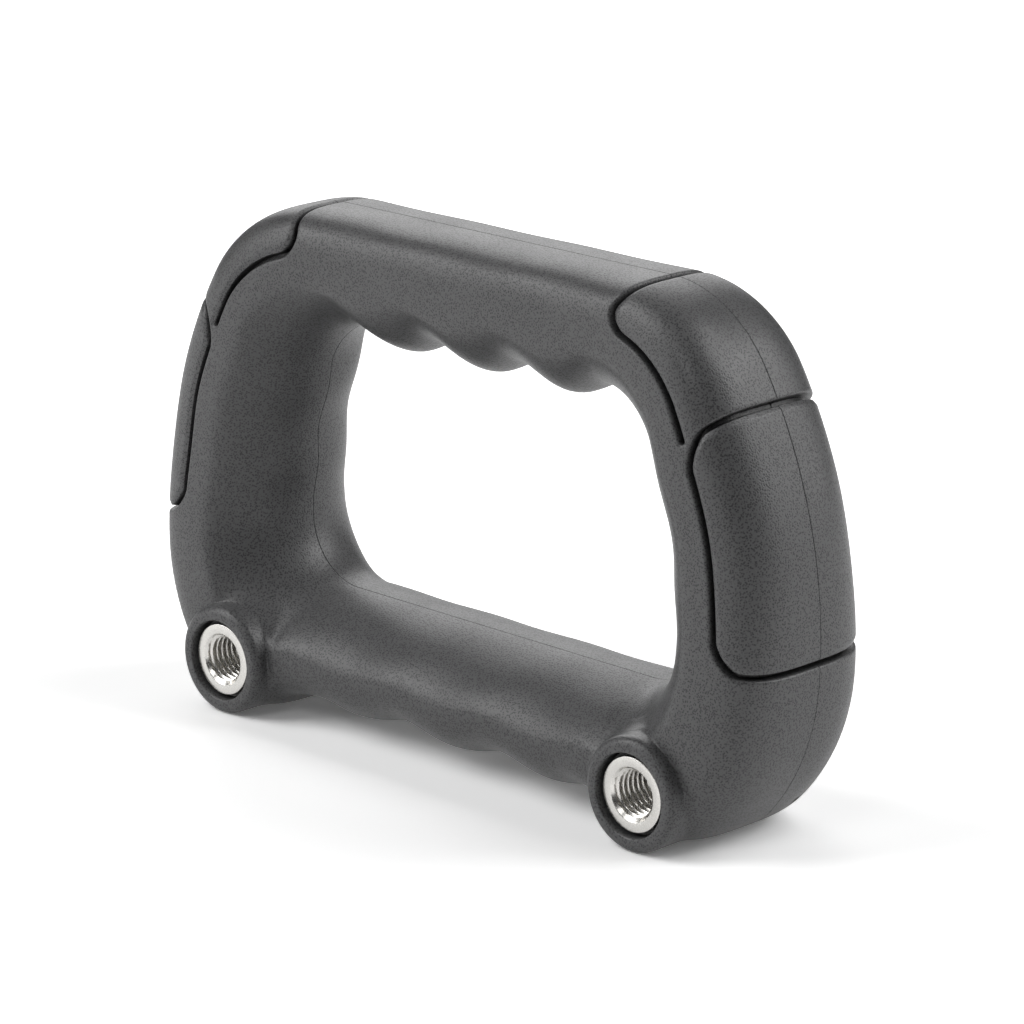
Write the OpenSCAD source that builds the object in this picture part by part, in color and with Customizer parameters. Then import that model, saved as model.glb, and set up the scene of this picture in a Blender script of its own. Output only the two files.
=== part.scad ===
// Carry handle for a machine or case: a closed loop with a finger grip, fixed by two screws from
// behind its feet. Two moulded half shells meet on a flat seam and hold two threaded inserts.
// The origin is midway between the screw holes, on the plane of the boss faces.
// X runs along the grip, Y away from the mounting face, Z up.

/* [Overall] */
// Width over both legs
overall_w = 156.8; // [150:0.2:175]
// Height from the feet to the top of the grip
overall_h = 99.4; // [94:0.2:115]
// Distance from the boss faces to the seam between the shells
seam_depth = 23; // [22:0.5:27]

/* [Outer outline] */
// Radius of the upper corners
corner_r = 26.5; // [22:0.5:32]
// Angle that an upper corner turns through, in degrees
corner_sweep = 58; // [54:1:62]
// Angle that a bulged side turns through, in degrees
side_sweep = 36; // [32:1:38]
// Radius where a side turns in towards its foot
knee_r = 44; // [38:1:52]
// Angle of that turn, in degrees
knee_sweep = 37; // [32:1:40]
// Radius of the outer edge of a foot
foot_r = 16.5; // [13:0.5:18]
// Length of the flat under a foot
foot_land = 4; // [3:0.5:8]
// How far the base bar is lifted above the feet
base_lift = 3.8; // [2.5:0.2:6]
// Radius of the step from a foot up to the base bar
lift_r = 8; // [6:0.5:10]

/* [Hand opening] */
// Width of the opening at its widest
opening_w = 102.6; // [96:0.2:108]
// Height of the opening, from the base bar to the finger hollows
opening_h = 53.8; // [48:0.2:60]
// Height of the base bar's upper side above the feet
base_bar_h = 23.7; // [21:0.1:26]
// Radius of the opening's upper corners
upper_r = 16; // [12:0.5:17]
// Angle that an upper corner of the opening turns through, in degrees
upper_sweep = 70; // [64:1:76]
// Radius of the opening's lower corners
lower_r = 12.5; // [9:0.5:15]

/* [Section] */
// Depth of the front shell in the middle of the grip
front_grip_depth = 14; // [12:0.5:16]
// Depth of the front shell halfway down a leg
front_leg_depth = 17.2; // [15:0.1:19]
// Depth of the front shell at a foot
front_foot_depth = 20.3; // [18:0.1:21]
// Depth of the front shell in the base bar
front_base_depth = 18.6; // [16:0.1:20]
// Depth of the rear shell in the middle of the grip
rear_grip_depth = 13.5; // [10:0.5:15]
// Depth of the rear shell halfway down a leg
rear_leg_depth = 15.4; // [14:0.1:18]
// Depth of the rear shell at a foot
rear_foot_depth = 17.6; // [15:0.1:19]
// Depth of the rear shell in the base bar
rear_base_depth = 17.2; // [14:0.1:18]
// Squareness of the front shell's outer edge: 2 is an ellipse, more is squarer
front_outer_square = 3.7; // [2.2:0.1:4]
// Squareness of the front shell's edge towards the hand
front_inner_square = 1.7; // [1.7:0.1:2.4]
// Squareness of the rear shell's outer edge
rear_outer_square = 3; // [2:0.1:3.6]
// Squareness of the rear shell's edge towards the hand
rear_inner_square = 2.1; // [1.7:0.1:2.4]

/* [Finger ridges] */
// Number of ridges under the grip
grip_ridges = 3; // [0:1:3]
// Distance between the ridges under the grip
grip_pitch = 21; // [18:0.5:22]
// Height of the ridges under the grip
grip_ridge_h = 3.4; // [0:0.1:4]
// Number of ridges under the base bar
base_ridges = 3; // [0:1:3]
// Distance between the ridges under the base bar
base_pitch = 25.2; // [20:0.2:28]
// Height of the ridges under the base bar
base_ridge_h = 2.3; // [0:0.1:3]
// Number of soft ridges on the hand side of each leg
leg_ridges = 2; // [0:1:2]
// Distance between the ridges on a leg
leg_pitch = 15.5; // [12:0.5:17]
// Height of the ridges on a leg
leg_ridge_h = 0.9; // [0:0.1:1.5]
// Height above the feet of the middle of the legs' ridges
leg_ridges_h = 54.2; // [50:0.2:58]

/* [Panel grooves] */
// Width of a groove at the surface
groove_w = 1.8; // [1.4:0.1:2.4]
// Depth of a groove
groove_depth = 1.3; // [0.8:0.1:1.6]
// Angle round the section at which the panels end, from the outer seam, in degrees
panel_edge = 81; // [66:1:86]
// Radius of the panels' corners
panel_corner_r = 6; // [5:0.5:8]
// Length from the end of the straight grip to the start of a corner panel
corner_panel_start = 1; // [0:0.5:4]
// How far a corner groove's blind end stays short of the side panel's upper crosswise groove
corner_groove_short = 0.9; // [0.5:0.1:5]
// Length from the top of a bulged side to the side panel
side_panel_start = 7; // [5:0.5:10]
// Length from the side panel to the bottom of a bulged side
side_panel_end = 4.4; // [2:0.2:8]

/* [Shell walls] */
// Wall thickness of the shells
wall = 3; // [2.4:0.1:3.6]
// Width of the outer lip on which the two shells meet
lip_w = 1.5; // [1.2:0.1:1.8]
// Height of the tongue inside the seam
tongue_h = 1.5; // [1:0.1:2]
// Clearance round the tongue
tongue_clear = 0.15; // [0.1:0.05:0.3]
// Diameter of the drain hole under the rear shell's right foot
drain_d = 1.4; // [1:0.1:2.5]
// Place of the drain hole along the foot, from 3 at the side to 4 at the base bar
drain_station = 3.49; // [3.4:0.01:3.6]
// Place of the drain hole round the section, in degrees from the outer seam
drain_angle = 14; // [10:1:30]

/* [Screw bosses] */
// Distance between the two screw holes
hole_spacing = 108; // [104:1:112]
// Height of the screw holes above the feet
hole_height = 10.7; // [10:0.1:12.5]
// Radius of the boss round each insert
boss_r = 10.7; // [9.8:0.1:11]
// Rounding of the boss's front edge
boss_edge_r = 1.6; // [0.5:0.1:2]
// Radius of the recess round the insert's face
recess_r = 7.9; // [7.4:0.1:8.4]
// Depth of that recess
recess_depth = 2; // [1:0.1:3]
// How far the insert's face lies behind the boss face
insert_set_back = 1; // [0.4:0.1:2]
// How far the boss stops short of the seam inside
boss_stop = 2.2; // [2.2:0.1:4]
// Radius of the rear shell's pillar behind each boss
pillar_r = 7; // [5:0.5:8]

/* [Inserts] */
// Outer radius of an insert
insert_r = 7; // [6.5:0.1:7.3]
// Length of an insert
insert_length = 17; // [14:0.5:18]
// Tapping diameter of the M10 thread
thread_bore_d = 8.5; // [6.8:0.1:8.8]
// Depth of the threaded hole
thread_depth = 14; // [10:0.5:14.5]
// Diameter of the countersink at the insert's mouth
mouth_d = 10.4; // [9:0.1:11.4]
// Radius at the bottom of the insert's retaining groove
insert_neck_r = 6.2; // [5.9:0.1:6.3]
// Length of that groove
insert_neck_w = 3; // [2:0.5:4]
// Clearance between an insert and its pocket
insert_clear = 0.03; // [0:0.01:0.1]

/* [Smoothness] */
// Sections in each half of the straight grip and base bar
bar_steps = 11; // [8:1:20]
// Sections in each corner
corner_steps = 6; // [5:1:12]
// Sections in each side
side_steps = 8; // [5:1:12]
// Sections in each foot
foot_steps = 10; // [9:1:20]
// Steps round the outside of each half section
skin_steps = 12; // [10:1:24]
// Steps round the inside of each half section
cavity_steps = 5; // [6:1:12]

/* [Hidden] */
plastic = [0.24, 0.24, 0.25];
nickel = [0.85, 0.84, 0.80];
floor_z = -hole_height;
top_z = overall_h - hole_height;
opening_bottom_z = base_bar_h - hole_height;
leg_ridges_z = leg_ridges_h - hole_height;
// The outline dips this far under the feet, and is cut flat there
foot_flat = 0.3;
// Softness of the change between the two edge shapes of a section
edge_blend = 0.3;
// A surface is trimmed this far past the seam
past = 1;

// An outline is a list of legs: [where it ends, length or radius, turn in degrees]. Both outlines
// run clockwise from the middle of the grip at 0 to the middle of the base bar at 5.
foot_sweep = 180 - corner_sweep - side_sweep - knee_sweep;
side_heading = corner_sweep + side_sweep;
knee_heading = side_heading + knee_sweep;
function fall(r, from, to) = r * (cos(from) - cos(to));
function reach(r, from, to) = r * (sin(to) - sin(from));
side_r = (overall_h + foot_flat - fall(corner_r, 0, corner_sweep) - fall(knee_r, side_heading, knee_heading)
    - fall(foot_r, knee_heading, 180)) / (cos(corner_sweep) - cos(side_heading));
// The widest point is where the side's heading is straight down
half_grip = overall_w / 2 - reach(corner_r, 0, corner_sweep) - reach(side_r, corner_sweep, 90);
foot_x = half_grip + reach(corner_r, 0, corner_sweep) + reach(side_r, corner_sweep, side_heading)
    + reach(knee_r, side_heading, knee_heading) + reach(foot_r, knee_heading, 180);
lift_turn = acos(1 - (base_lift + foot_flat) / (2 * lift_r));
half_base = foot_x - foot_land - 2 * lift_r * sin(lift_turn);
knee_len = knee_r * knee_sweep * PI / 180;
foot_len = foot_r * foot_sweep * PI / 180;
lift_len = lift_r * lift_turn * PI / 180;
foot_total = knee_len + foot_len + foot_land + 2 * lift_len;
outer_legs = [
    [1, half_grip, 0],
    [2, corner_r, corner_sweep],
    [3, side_r, side_sweep],
    [3 + knee_len / foot_total, knee_r, knee_sweep],
    [3 + (knee_len + foot_len) / foot_total, foot_r, foot_sweep],
    [4 - 2 * lift_len / foot_total, foot_land, 0],
    [4 - lift_len / foot_total, lift_r, lift_turn],
    [4, lift_r, -lift_turn],
    [5, half_base, 0],
];
inner_side_r = (opening_h - fall(upper_r, 0, upper_sweep) - lower_r) / cos(upper_sweep);
inner_half_grip = opening_w / 2 - reach(upper_r, 0, upper_sweep) - reach(inner_side_r, upper_sweep, 90);
inner_legs = [
    [1, inner_half_grip, 0],
    [2, upper_r, upper_sweep],
    [3, inner_side_r, 90 - upper_sweep],
    [4, lower_r, 90],
    [5, opening_w / 2 - lower_r, 0],
];

// The point reached on one leg at the share t of it, from a start and a heading
function leg_point(leg, at, heading, t) = leg[2] == 0
    ? at + leg[1] * t * [cos(heading), -sin(heading)]
    : let (now = heading + leg[2] * t)
        at + sign(leg[2]) * leg[1] * [sin(now) - sin(heading), cos(now) - cos(heading)];

// The point of an outline at the station q, as [x, z]
function along(legs, q, at, heading = 0, i = 0, start = 0) =
    let (leg = legs[i], share = (q - start) / (leg[0] - start))
    q <= leg[0] || i == len(legs) - 1
        ? leg_point(leg, at, heading, share)
        : along(legs, q, leg_point(leg, at, heading, 1), heading + leg[2], i + 1, leg[0]);

// A row of ridges, centred on x = 0, that starts and ends in a hollow
function ridges(x, count, pitch, height) =
    abs(x) < count * pitch / 2 ? height * (1 - cos(360 * x / pitch + 180 * count)) / 2 : 0;

// A smooth change between the depths that hold at the depth stations
function eased(q, depths, i = 0) =
    q <= depth_stations[i] || i == len(depths) - 1 ? depths[i]
    : q < depth_stations[i + 1]
        ? let (t = (q - depth_stations[i]) / (depth_stations[i + 1] - depth_stations[i]))
            depths[i] + (depths[i + 1] - depths[i]) * t * t * (3 - 2 * t)
        : eased(q, depths, i + 1);
depth_stations = [0.5, 2.5, 3.5, 4.6];
front_depths = [front_grip_depth, front_leg_depth, front_foot_depth, front_base_depth];
rear_depths = [rear_grip_depth, rear_leg_depth, rear_foot_depth, rear_base_depth];

// A section at station q: its outer and inner point on the seam and its depth. Stations from 5 to 10
// are the mirror image of those from 5 down to 0. side is -1 in front and 1 at the rear.
function section(q, side) =
    let (
        s = q > 5 ? 10 - q : q,
        mirror_x = q > 5 ? -1 : 1,
        o = along(outer_legs, s, [0, top_z]),
        i = along(inner_legs, s, [0, opening_bottom_z + opening_h]),
        o_drop = s > 4 ? ridges(o[0], base_ridges, base_pitch, base_ridge_h) : 0,
        i_drop = s < 1.5 ? ridges(i[0], grip_ridges, grip_pitch, grip_ridge_h) : 0,
        i_swell = s > 1.5 && s < 4 ? ridges(i[1] - leg_ridges_z, leg_ridges, leg_pitch, leg_ridge_h) : 0
    )
    [
        [mirror_x * o[0], o[1] - o_drop],
        [mirror_x * (i[0] - i_swell), i[1] - i_drop],
        eased(s, side < 0 ? front_depths : rear_depths),
    ];

// A rounded section: the share [across, deep] at the angle phi, 0 at the outer seam, 180 at the inner
function round_section(phi, side) =
    let (
        outer_share = 1 / (1 + exp(-2 * cos(phi) / edge_blend)),
        square = side < 0
            ? front_outer_square * outer_share + front_inner_square * (1 - outer_share)
            : rear_outer_square * outer_share + rear_inner_square * (1 - outer_share)
    )
    [sign(cos(phi)) * pow(abs(cos(phi)), 2 / square), pow(max(sin(phi), 0), 2 / square)];

// Where a section point lies: across in shares of its half width, deep in mm from the seam
function placed(sec, side, across_mm, deep_mm, inset) =
    let (mid = (sec[0] + sec[1]) / 2, along_dir = (sec[0] - sec[1]) / norm(sec[0] - sec[1]))
    [mid[0] + across_mm * along_dir[0], seam_depth + side * deep_mm,
        max(mid[1] + across_mm * along_dir[1], floor_z + inset)];

// A point of the skin, or inset below it
function skin(q, phi, side, inset = 0) =
    let (
        sec = section(q, side),
        half_w = norm(sec[0] - sec[1]) / 2 - inset,
        share = round_section(phi, side)
    )
    placed(sec, side, half_w * share[0], (sec[2] - inset) * share[1], inset);

// The stations of one full turn
half_turn = [
    for (k = [0:bar_steps - 1]) k / bar_steps,
    for (k = [0:corner_steps - 1]) 1 + k / corner_steps,
    for (k = [0:side_steps - 1]) 2 + k / side_steps,
    for (k = [0:foot_steps - 1]) 3 + k / foot_steps,
    for (k = [0:bar_steps - 1]) 4 + k / bar_steps,
];
turn = concat(half_turn, [5], [for (k = [len(half_turn) - 1:-1:1]) 10 - half_turn[k]]);

// The seam's edge on one wall, as [distance in from the skin, depth]: the front shell has a rebate
// and the rear shell the tongue that enters it
function rim(side) = side < 0
    ? [[lip_w, 0], [lip_w, tongue_h]]
    : let (tip = tongue_clear - tongue_h)
        [[lip_w + tongue_clear, 0], [lip_w + tongue_clear, tip], [wall, tip]];

// One ring of a hollow shell: the skin from outer to inner seam, the rim, the cavity and the rim back
function shell_ring(q, side) =
    let (
        sec = section(q, side),
        half_w = norm(sec[0] - sec[1]) / 2,
        edge = rim(side),
        least = side < 0 ? tongue_h : 0
    )
    [
        for (k = [0:skin_steps]) skin(q, 180 * k / skin_steps, side),
        for (p = edge) placed(sec, side, p[0] - half_w, p[1], 0),
        for (k = [cavity_steps:-1:0])
            let (share = round_section(180 * k / cavity_steps, side))
            placed(sec, side, (half_w - wall) * share[0], max((sec[2] - wall) * share[1], least), wall),
        for (k = [len(edge) - 1:-1:0]) placed(sec, side, half_w - edge[k][0], edge[k][1], 0),
    ];

// One ring of a solid half loop, inset below the skin
function solid_ring(q, side, inset) = [for (k = [0:skin_steps]) skin(q, 180 * k / skin_steps, side, inset)];

// Two triangles for each cell between neighbouring rings. A closed loop joins the last ring to the first.
function cells(rings, sides, loop, flip) = [
    for (i = [0:(loop ? rings - 1 : rings - 2)], j = [0:sides - 1])
        let (
            a = i * sides + j,
            b = i * sides + (j + 1) % sides,
            c = ((i + 1) % rings) * sides + (j + 1) % sides,
            d = ((i + 1) % rings) * sides + j
        )
        each (flip ? [[a, c, b], [a, d, c]] : [[a, b, c], [a, c, d]])
];

// A closed loop through equal rings
module ring_loop(rings, flip) {
    sides = len(rings[0]);
    polyhedron(
        points = [for (r = rings) each r],
        faces = cells(len(rings), sides, true, flip),
        convexity = 8
    );
}

// A tube with round ends along a path of [point, outward direction] pairs
module groove_tube(path, r) {
    sides = 6;
    last = len(path) - 1;
    function ring(i) =
        let (
            tangent = path[min(i + 1, last)][0] - path[max(i - 1, 0)][0],
            up = path[i][1],
            across = cross(tangent, up) / norm(cross(tangent, up)),
            size = i == 0 || i == last ? r * 0.6 : r
        )
        [
            for (k = [0:sides - 1])
                let (angle = 360 * (k + 0.5) / sides)
                path[i][0] + size * (cos(angle) * up + sin(angle) * across)
        ];
    polyhedron(
        points = [for (i = [0:last]) each ring(i)],
        faces = concat(
            cells(last + 1, sides, false, true),
            [[for (k = [0:sides - 1]) k]],
            [[for (k = [sides - 1:-1:0]) last * sides + k]]
        ),
        convexity = 6
    );
}

// Stations at which the grooves turn, from lengths along the outline
corner_len = corner_r * corner_sweep * PI / 180;
side_len = side_r * side_sweep * PI / 180;
corner_start_q = 1 + corner_panel_start / corner_len;
side_start_q = 2 + side_panel_start / side_len;
side_end_q = 3 - side_panel_end / side_len;
corner_end_q = side_start_q - corner_groove_short / side_len;
groove_r = (groove_w * groove_w / 4 + groove_depth * groove_depth) / (2 * groove_depth);
// The groove's centre line lies this far under the skin
groove_inset = groove_depth - groove_r;
// Degrees of section angle for each millimetre across the skin beside the panels' edge
turn_per_mm = 3.6;
cross_end = panel_edge - panel_corner_r * turn_per_mm;

// Crosswise stretch of a groove, from the outer seam to the turn
function groove_cross(q) = [for (k = [0:4]) [q, cross_end * k / 5]];

// The rounded turn of a groove at the panels' edge, from crosswise to lengthwise, as [station, angle]
function groove_turn(q, dq) =
    [for (t = [0:15:75]) [q + dq * (1 - cos(t)), cross_end + (panel_edge - cross_end) * sin(t)]];

// Lengthwise stretch of a groove between two stations, in equal steps
function groove_run(from, to, steps) = [for (k = [0:steps]) [from + (to - from) * k / steps, panel_edge]];

function reversed(list) = [for (k = [len(list) - 1:-1:0]) list[k]];

// The corner panel's groove: across the end of the grip, then down the front, to a blind end
corner_turn_dq = panel_corner_r / corner_len;
corner_groove = concat(
    groove_cross(corner_start_q),
    groove_turn(corner_start_q, corner_turn_dq),
    groove_run(corner_start_q + corner_turn_dq, corner_end_q, 9)
);

// The side panel's groove: down the front between its two crosswise stretches
side_turn_dq = panel_corner_r / side_len;
side_groove = concat(
    groove_cross(side_start_q),
    groove_turn(side_start_q, side_turn_dq),
    groove_run(side_start_q + side_turn_dq, side_end_q - side_turn_dq, 5),
    reversed(groove_turn(side_end_q, -side_turn_dq)),
    reversed(groove_cross(side_end_q))
);

// A groove's path on the skin. At the seam it runs on past it, so that the two shells' grooves meet.
function groove_path(route, side) = [
    for (p = route)
        let (
            on = skin(p[0], p[1], side, groove_inset),
            out = skin(p[0], p[1], side) - skin(p[0], p[1], side, 1)
        )
        each p[1] == 0
            ? (p == route[0]
                ? [[on - [0, side * past, 0], out / norm(out)], [on, out / norm(out)]]
                : [[on, out / norm(out)], [on - [0, side * past, 0], out / norm(out)]])
            : [[on, out / norm(out)]]
];

// The four grooves of one shell
module panel_grooves(side) {
    for (mirror_x = [0, 1]) {
        mirror([mirror_x, 0, 0]) groove_tube(groove_path(corner_groove, side), groove_r);
        mirror([mirror_x, 0, 0]) groove_tube(groove_path(side_groove, side), groove_r);
    }
}

// Places its children on both screw axes, with +Z turned to run from the boss face to the rear
module at_screw_axes() {
    for (s = [-1, 1])
        translate([s * hole_spacing / 2, 0, 0]) rotate([-90, 0, 0]) children();
}

// A boss with a rounded front edge, as long as the front shell is deep
module boss() {
    rotate_extrude($fn = 64)
        polygon([
            [0, 0],
            for (t = [0:22.5:90]) [boss_r - boss_edge_r * (1 - sin(t)), boss_edge_r * (1 - cos(t))],
            [boss_r, seam_depth - boss_stop],
            [0, seam_depth - boss_stop],
        ]);
}

// Profile of an insert from its mouth at y = 0 inwards, with a retaining groove, grown by a clearance
function insert_profile(grow) =
    let (neck = (insert_length - insert_neck_w) / 2)
    [
        [0, 0],
        [insert_r + grow, 0],
        [insert_r + grow, neck + grow],
        [insert_neck_r + grow, neck + grow],
        [insert_neck_r + grow, neck + insert_neck_w - grow],
        [insert_r + grow, neck + insert_neck_w - grow],
        [insert_r + grow, insert_length + grow],
        [0, insert_length + grow],
    ];

// The pocket that an insert is moulded into, with the recess round its face
module insert_pocket() {
    translate([0, 0, insert_set_back]) rotate_extrude($fn = 64) polygon(insert_profile(insert_clear));
    translate([0, 0, -past]) cylinder(r = recess_r, h = recess_depth + past, $fn = 64);
}

// A threaded insert: blind, countersunk, drilled to the thread's tapping size
module insert() {
    translate([0, 0, insert_set_back])
        rotate_extrude($fn = 64)
            polygon([
                for (p = insert_profile(0)) if (p[0] > 0) p,
                [0, insert_length],
                [0, thread_depth],
                [thread_bore_d / 2, thread_depth],
                [thread_bore_d / 2, (mouth_d - thread_bore_d) / 2],
                [mouth_d / 2, 0],
            ]);
}

// A swept shell with what is carved in it stays one mesh at its own size
module one_mesh() {
    resize([0, 0, 0]) children();
}

// Front shell: skin with its bosses, panel grooves and insert pockets
module front_shell() {
    color(plastic)
        difference() {
            union() {
                one_mesh()
                    difference() {
                        ring_loop([for (q = turn) shell_ring(q, -1)], true);
                        panel_grooves(-1);
                    }
                at_screw_axes() boss();
            }
            at_screw_axes() insert_pocket();
        }
}

// Rear shell: skin with the tongue, panel grooves, drain hole and a pillar behind each boss
module rear_shell() {
    color(plastic)
        one_mesh()
            difference() {
                union() {
                    ring_loop([for (q = turn) shell_ring(q, 1)], false);
                    intersection() {
                        ring_loop([for (q = turn) solid_ring(q, 1, wall / 2)], false);
                        at_screw_axes() cylinder(r = pillar_r, h = seam_depth * 2, $fn = 32);
                    }
                }
                panel_grooves(1);
                translate(skin(drain_station, drain_angle, 1) - [0, 0, past])
                    cylinder(d = drain_d, h = wall * 2.5, $fn = 16);
            }
}

module left_insert() {
    color(nickel) translate([-hole_spacing / 2, 0, 0]) rotate([-90, 0, 0]) insert();
}

module right_insert() {
    color(nickel) translate([hole_spacing / 2, 0, 0]) rotate([-90, 0, 0]) insert();
}

front_shell();
rear_shell();
left_insert();
right_insert();
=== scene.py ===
"""A closed-loop carry handle: moulded plastic half shells with threaded inserts in the feet.

All shapes are worked out in millimetres in the part's own frame (X along the grip, Y away from the
mounting face, Z up, origin midway between the screw holes) and turned into metres as meshes.
"""

import logging
import math
from dataclasses import dataclass, field, replace
from enum import Enum

import bpy
import numpy as np
from mathutils import Matrix, Vector
from mathutils.bvhtree import BVHTree


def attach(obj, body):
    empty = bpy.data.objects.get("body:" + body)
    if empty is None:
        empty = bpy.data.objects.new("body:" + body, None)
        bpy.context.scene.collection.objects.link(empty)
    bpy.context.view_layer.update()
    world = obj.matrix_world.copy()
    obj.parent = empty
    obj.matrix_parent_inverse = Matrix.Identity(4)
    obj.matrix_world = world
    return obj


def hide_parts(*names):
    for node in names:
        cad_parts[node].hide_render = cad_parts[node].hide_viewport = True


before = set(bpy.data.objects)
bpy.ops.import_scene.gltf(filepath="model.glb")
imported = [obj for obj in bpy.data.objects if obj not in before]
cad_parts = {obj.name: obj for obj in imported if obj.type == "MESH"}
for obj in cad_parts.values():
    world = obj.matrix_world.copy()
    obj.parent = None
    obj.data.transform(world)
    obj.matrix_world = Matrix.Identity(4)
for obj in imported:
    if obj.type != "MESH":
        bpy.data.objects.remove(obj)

logging.basicConfig(level=logging.INFO, format="%(name)s: %(message)s")
LOG = logging.getLogger("carry_handle")
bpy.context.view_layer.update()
MM = 0.001
# Angle in degrees from which an edge of a mesh stays sharp
SHARP = 50.0


def smooth(share: np.ndarray) -> np.ndarray:
    """Shares from 0 to 1 with a soft start and end."""
    return share * share * (3 - 2 * share)


def grid_cells(grid: np.ndarray) -> np.ndarray:
    """Corners of the cells of a grid whose last row joins its first, as its last axis."""
    ahead = np.roll(grid, -1, axis=0)
    return np.stack([grid[:, :-1], grid[:, 1:], ahead[:, 1:], ahead[:, :-1]], axis=-1)


class Half(Enum):
    """The two half shells, by the sign of their depth from the seam along Y."""

    FRONT = -1
    REAR = 1


class Foot(Enum):
    """The two feet, by the sign of their place along X."""

    LEFT = -1
    RIGHT = 1


@dataclass(frozen=True)
class Leg:
    """One leg of an outline.

    Attributes:
        end: station at which the leg ends.
        size: length of a straight leg or radius of an arc, in mm.
        turn: angle that an arc turns through, in degrees; 0 for a straight leg.
    """

    end: float
    size: float
    turn: float

    @property
    def length(self) -> float:
        """Length of the leg in mm."""
        return self.size * math.radians(abs(self.turn)) if self.turn else self.size

    def point(self, share: np.ndarray, start: np.ndarray, heading: float) -> np.ndarray:
        """Point at a share of the leg.

        Args:
            share: shares of the leg, 0 to 1.
            start: where the leg starts, as [x, z].
            heading: heading at its start in degrees, clockwise from +X.

        Returns:
            Points as rows of [x, z].
        """
        h = math.radians(heading)
        if self.turn == 0:
            way = np.array([math.cos(h), -math.sin(h)])
            return start + self.size * share[:, None] * way
        now = h + np.radians(self.turn) * share
        arc = np.stack([np.sin(now) - math.sin(h), np.cos(now) - math.cos(h)], axis=1)
        return start + math.copysign(self.size, self.turn) * arc


@dataclass(frozen=True)
class Outline:
    """Half of a closed outline, from the middle of the grip to the middle of the base bar.

    Attributes:
        legs: its legs in order.
        top: height of its start above the screw holes, in mm.
    """

    legs: tuple[Leg, ...]
    top: float

    def points(self, stations: np.ndarray) -> np.ndarray:
        """Points at stations from 0 to 5.

        Args:
            stations: the stations.

        Returns:
            Points as rows of [x, z] in mm.
        """
        out = np.empty((len(stations), 2))
        start, heading, begin = np.array([0.0, self.top]), 0.0, 0.0
        for leg in self.legs:
            here = (stations >= begin) & (stations <= leg.end + 1e-9)
            share = (stations[here] - begin) / (leg.end - begin)
            out[here] = leg.point(share, start, heading)
            start = leg.point(np.array([1.0]), start, heading)[0]
            heading += leg.turn
            begin = leg.end
        return out


@dataclass(frozen=True)
class RidgeRow:
    """A row of soft ridges centred on 0 that starts and ends in a hollow.

    Attributes:
        count: number of ridges.
        pitch: distance between them in mm.
        height: their height in mm.
    """

    count: int
    pitch: float
    height: float

    def rise(self, at: np.ndarray) -> np.ndarray:
        """Height of the row at places along it.

        Args:
            at: places in mm.

        Returns:
            Heights in mm.
        """
        wave = self.height * (1 - np.cos(2 * math.pi * at / self.pitch + math.pi * self.count)) / 2
        return np.where(np.abs(at) < self.count * self.pitch / 2, wave, 0.0)


@dataclass(frozen=True)
class HalfSection:
    """How one half shell's section changes round the loop.

    Attributes:
        depths: depths from the seam at the depth stations, in mm.
        outer_square: squareness of its outer edge, 2 for an ellipse.
        base_square: the same along the base bar, which is rounder.
        inner_square: squareness of its edge towards the hand.
    """

    depths: tuple[float, float, float, float]
    outer_square: float
    base_square: float
    inner_square: float

    STATIONS = (0.5, 2.5, 3.5, 4.6)
    # Stations between which the section grows rounder towards the base bar
    BASE_FROM, BASE_FULL = 3.8, 4.25
    # How gradually one squareness passes into the other round the section
    SOFTNESS = 0.3

    def depth(self, stations: np.ndarray) -> np.ndarray:
        """Depth of the half shell at stations from 0 to 5.

        Args:
            stations: the stations.

        Returns:
            Depths in mm.
        """
        xs, ys = np.array(self.STATIONS), np.array(self.depths)
        k = np.clip(np.searchsorted(xs, stations) - 1, 0, len(xs) - 2)
        t = np.clip((stations - xs[k]) / (xs[k + 1] - xs[k]), 0, 1)
        return ys[k] + (ys[k + 1] - ys[k]) * smooth(t)

    def share(self, stations: np.ndarray, phi: np.ndarray) -> tuple[np.ndarray, np.ndarray]:
        """The rounded section as shares of its half width and depth.

        Args:
            stations: stations from 0 to 5.
            phi: angles round the section in degrees, 0 at the outer seam, 180 at the inner.

        Returns:
            The shares across and in depth.
        """
        a = np.radians(phi)
        cos, sin = np.cos(a), np.maximum(np.sin(a), 0.0)
        outer = 1 / (1 + np.exp(-2 * cos / self.SOFTNESS))
        t = np.clip((stations - self.BASE_FROM) / (self.BASE_FULL - self.BASE_FROM), 0, 1)
        edge = self.outer_square + (self.base_square - self.outer_square) * smooth(t)
        square = edge * outer + self.inner_square * (1 - outer)
        return np.sign(cos) * np.abs(cos) ** (2 / square), sin ** (2 / square)


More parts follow.
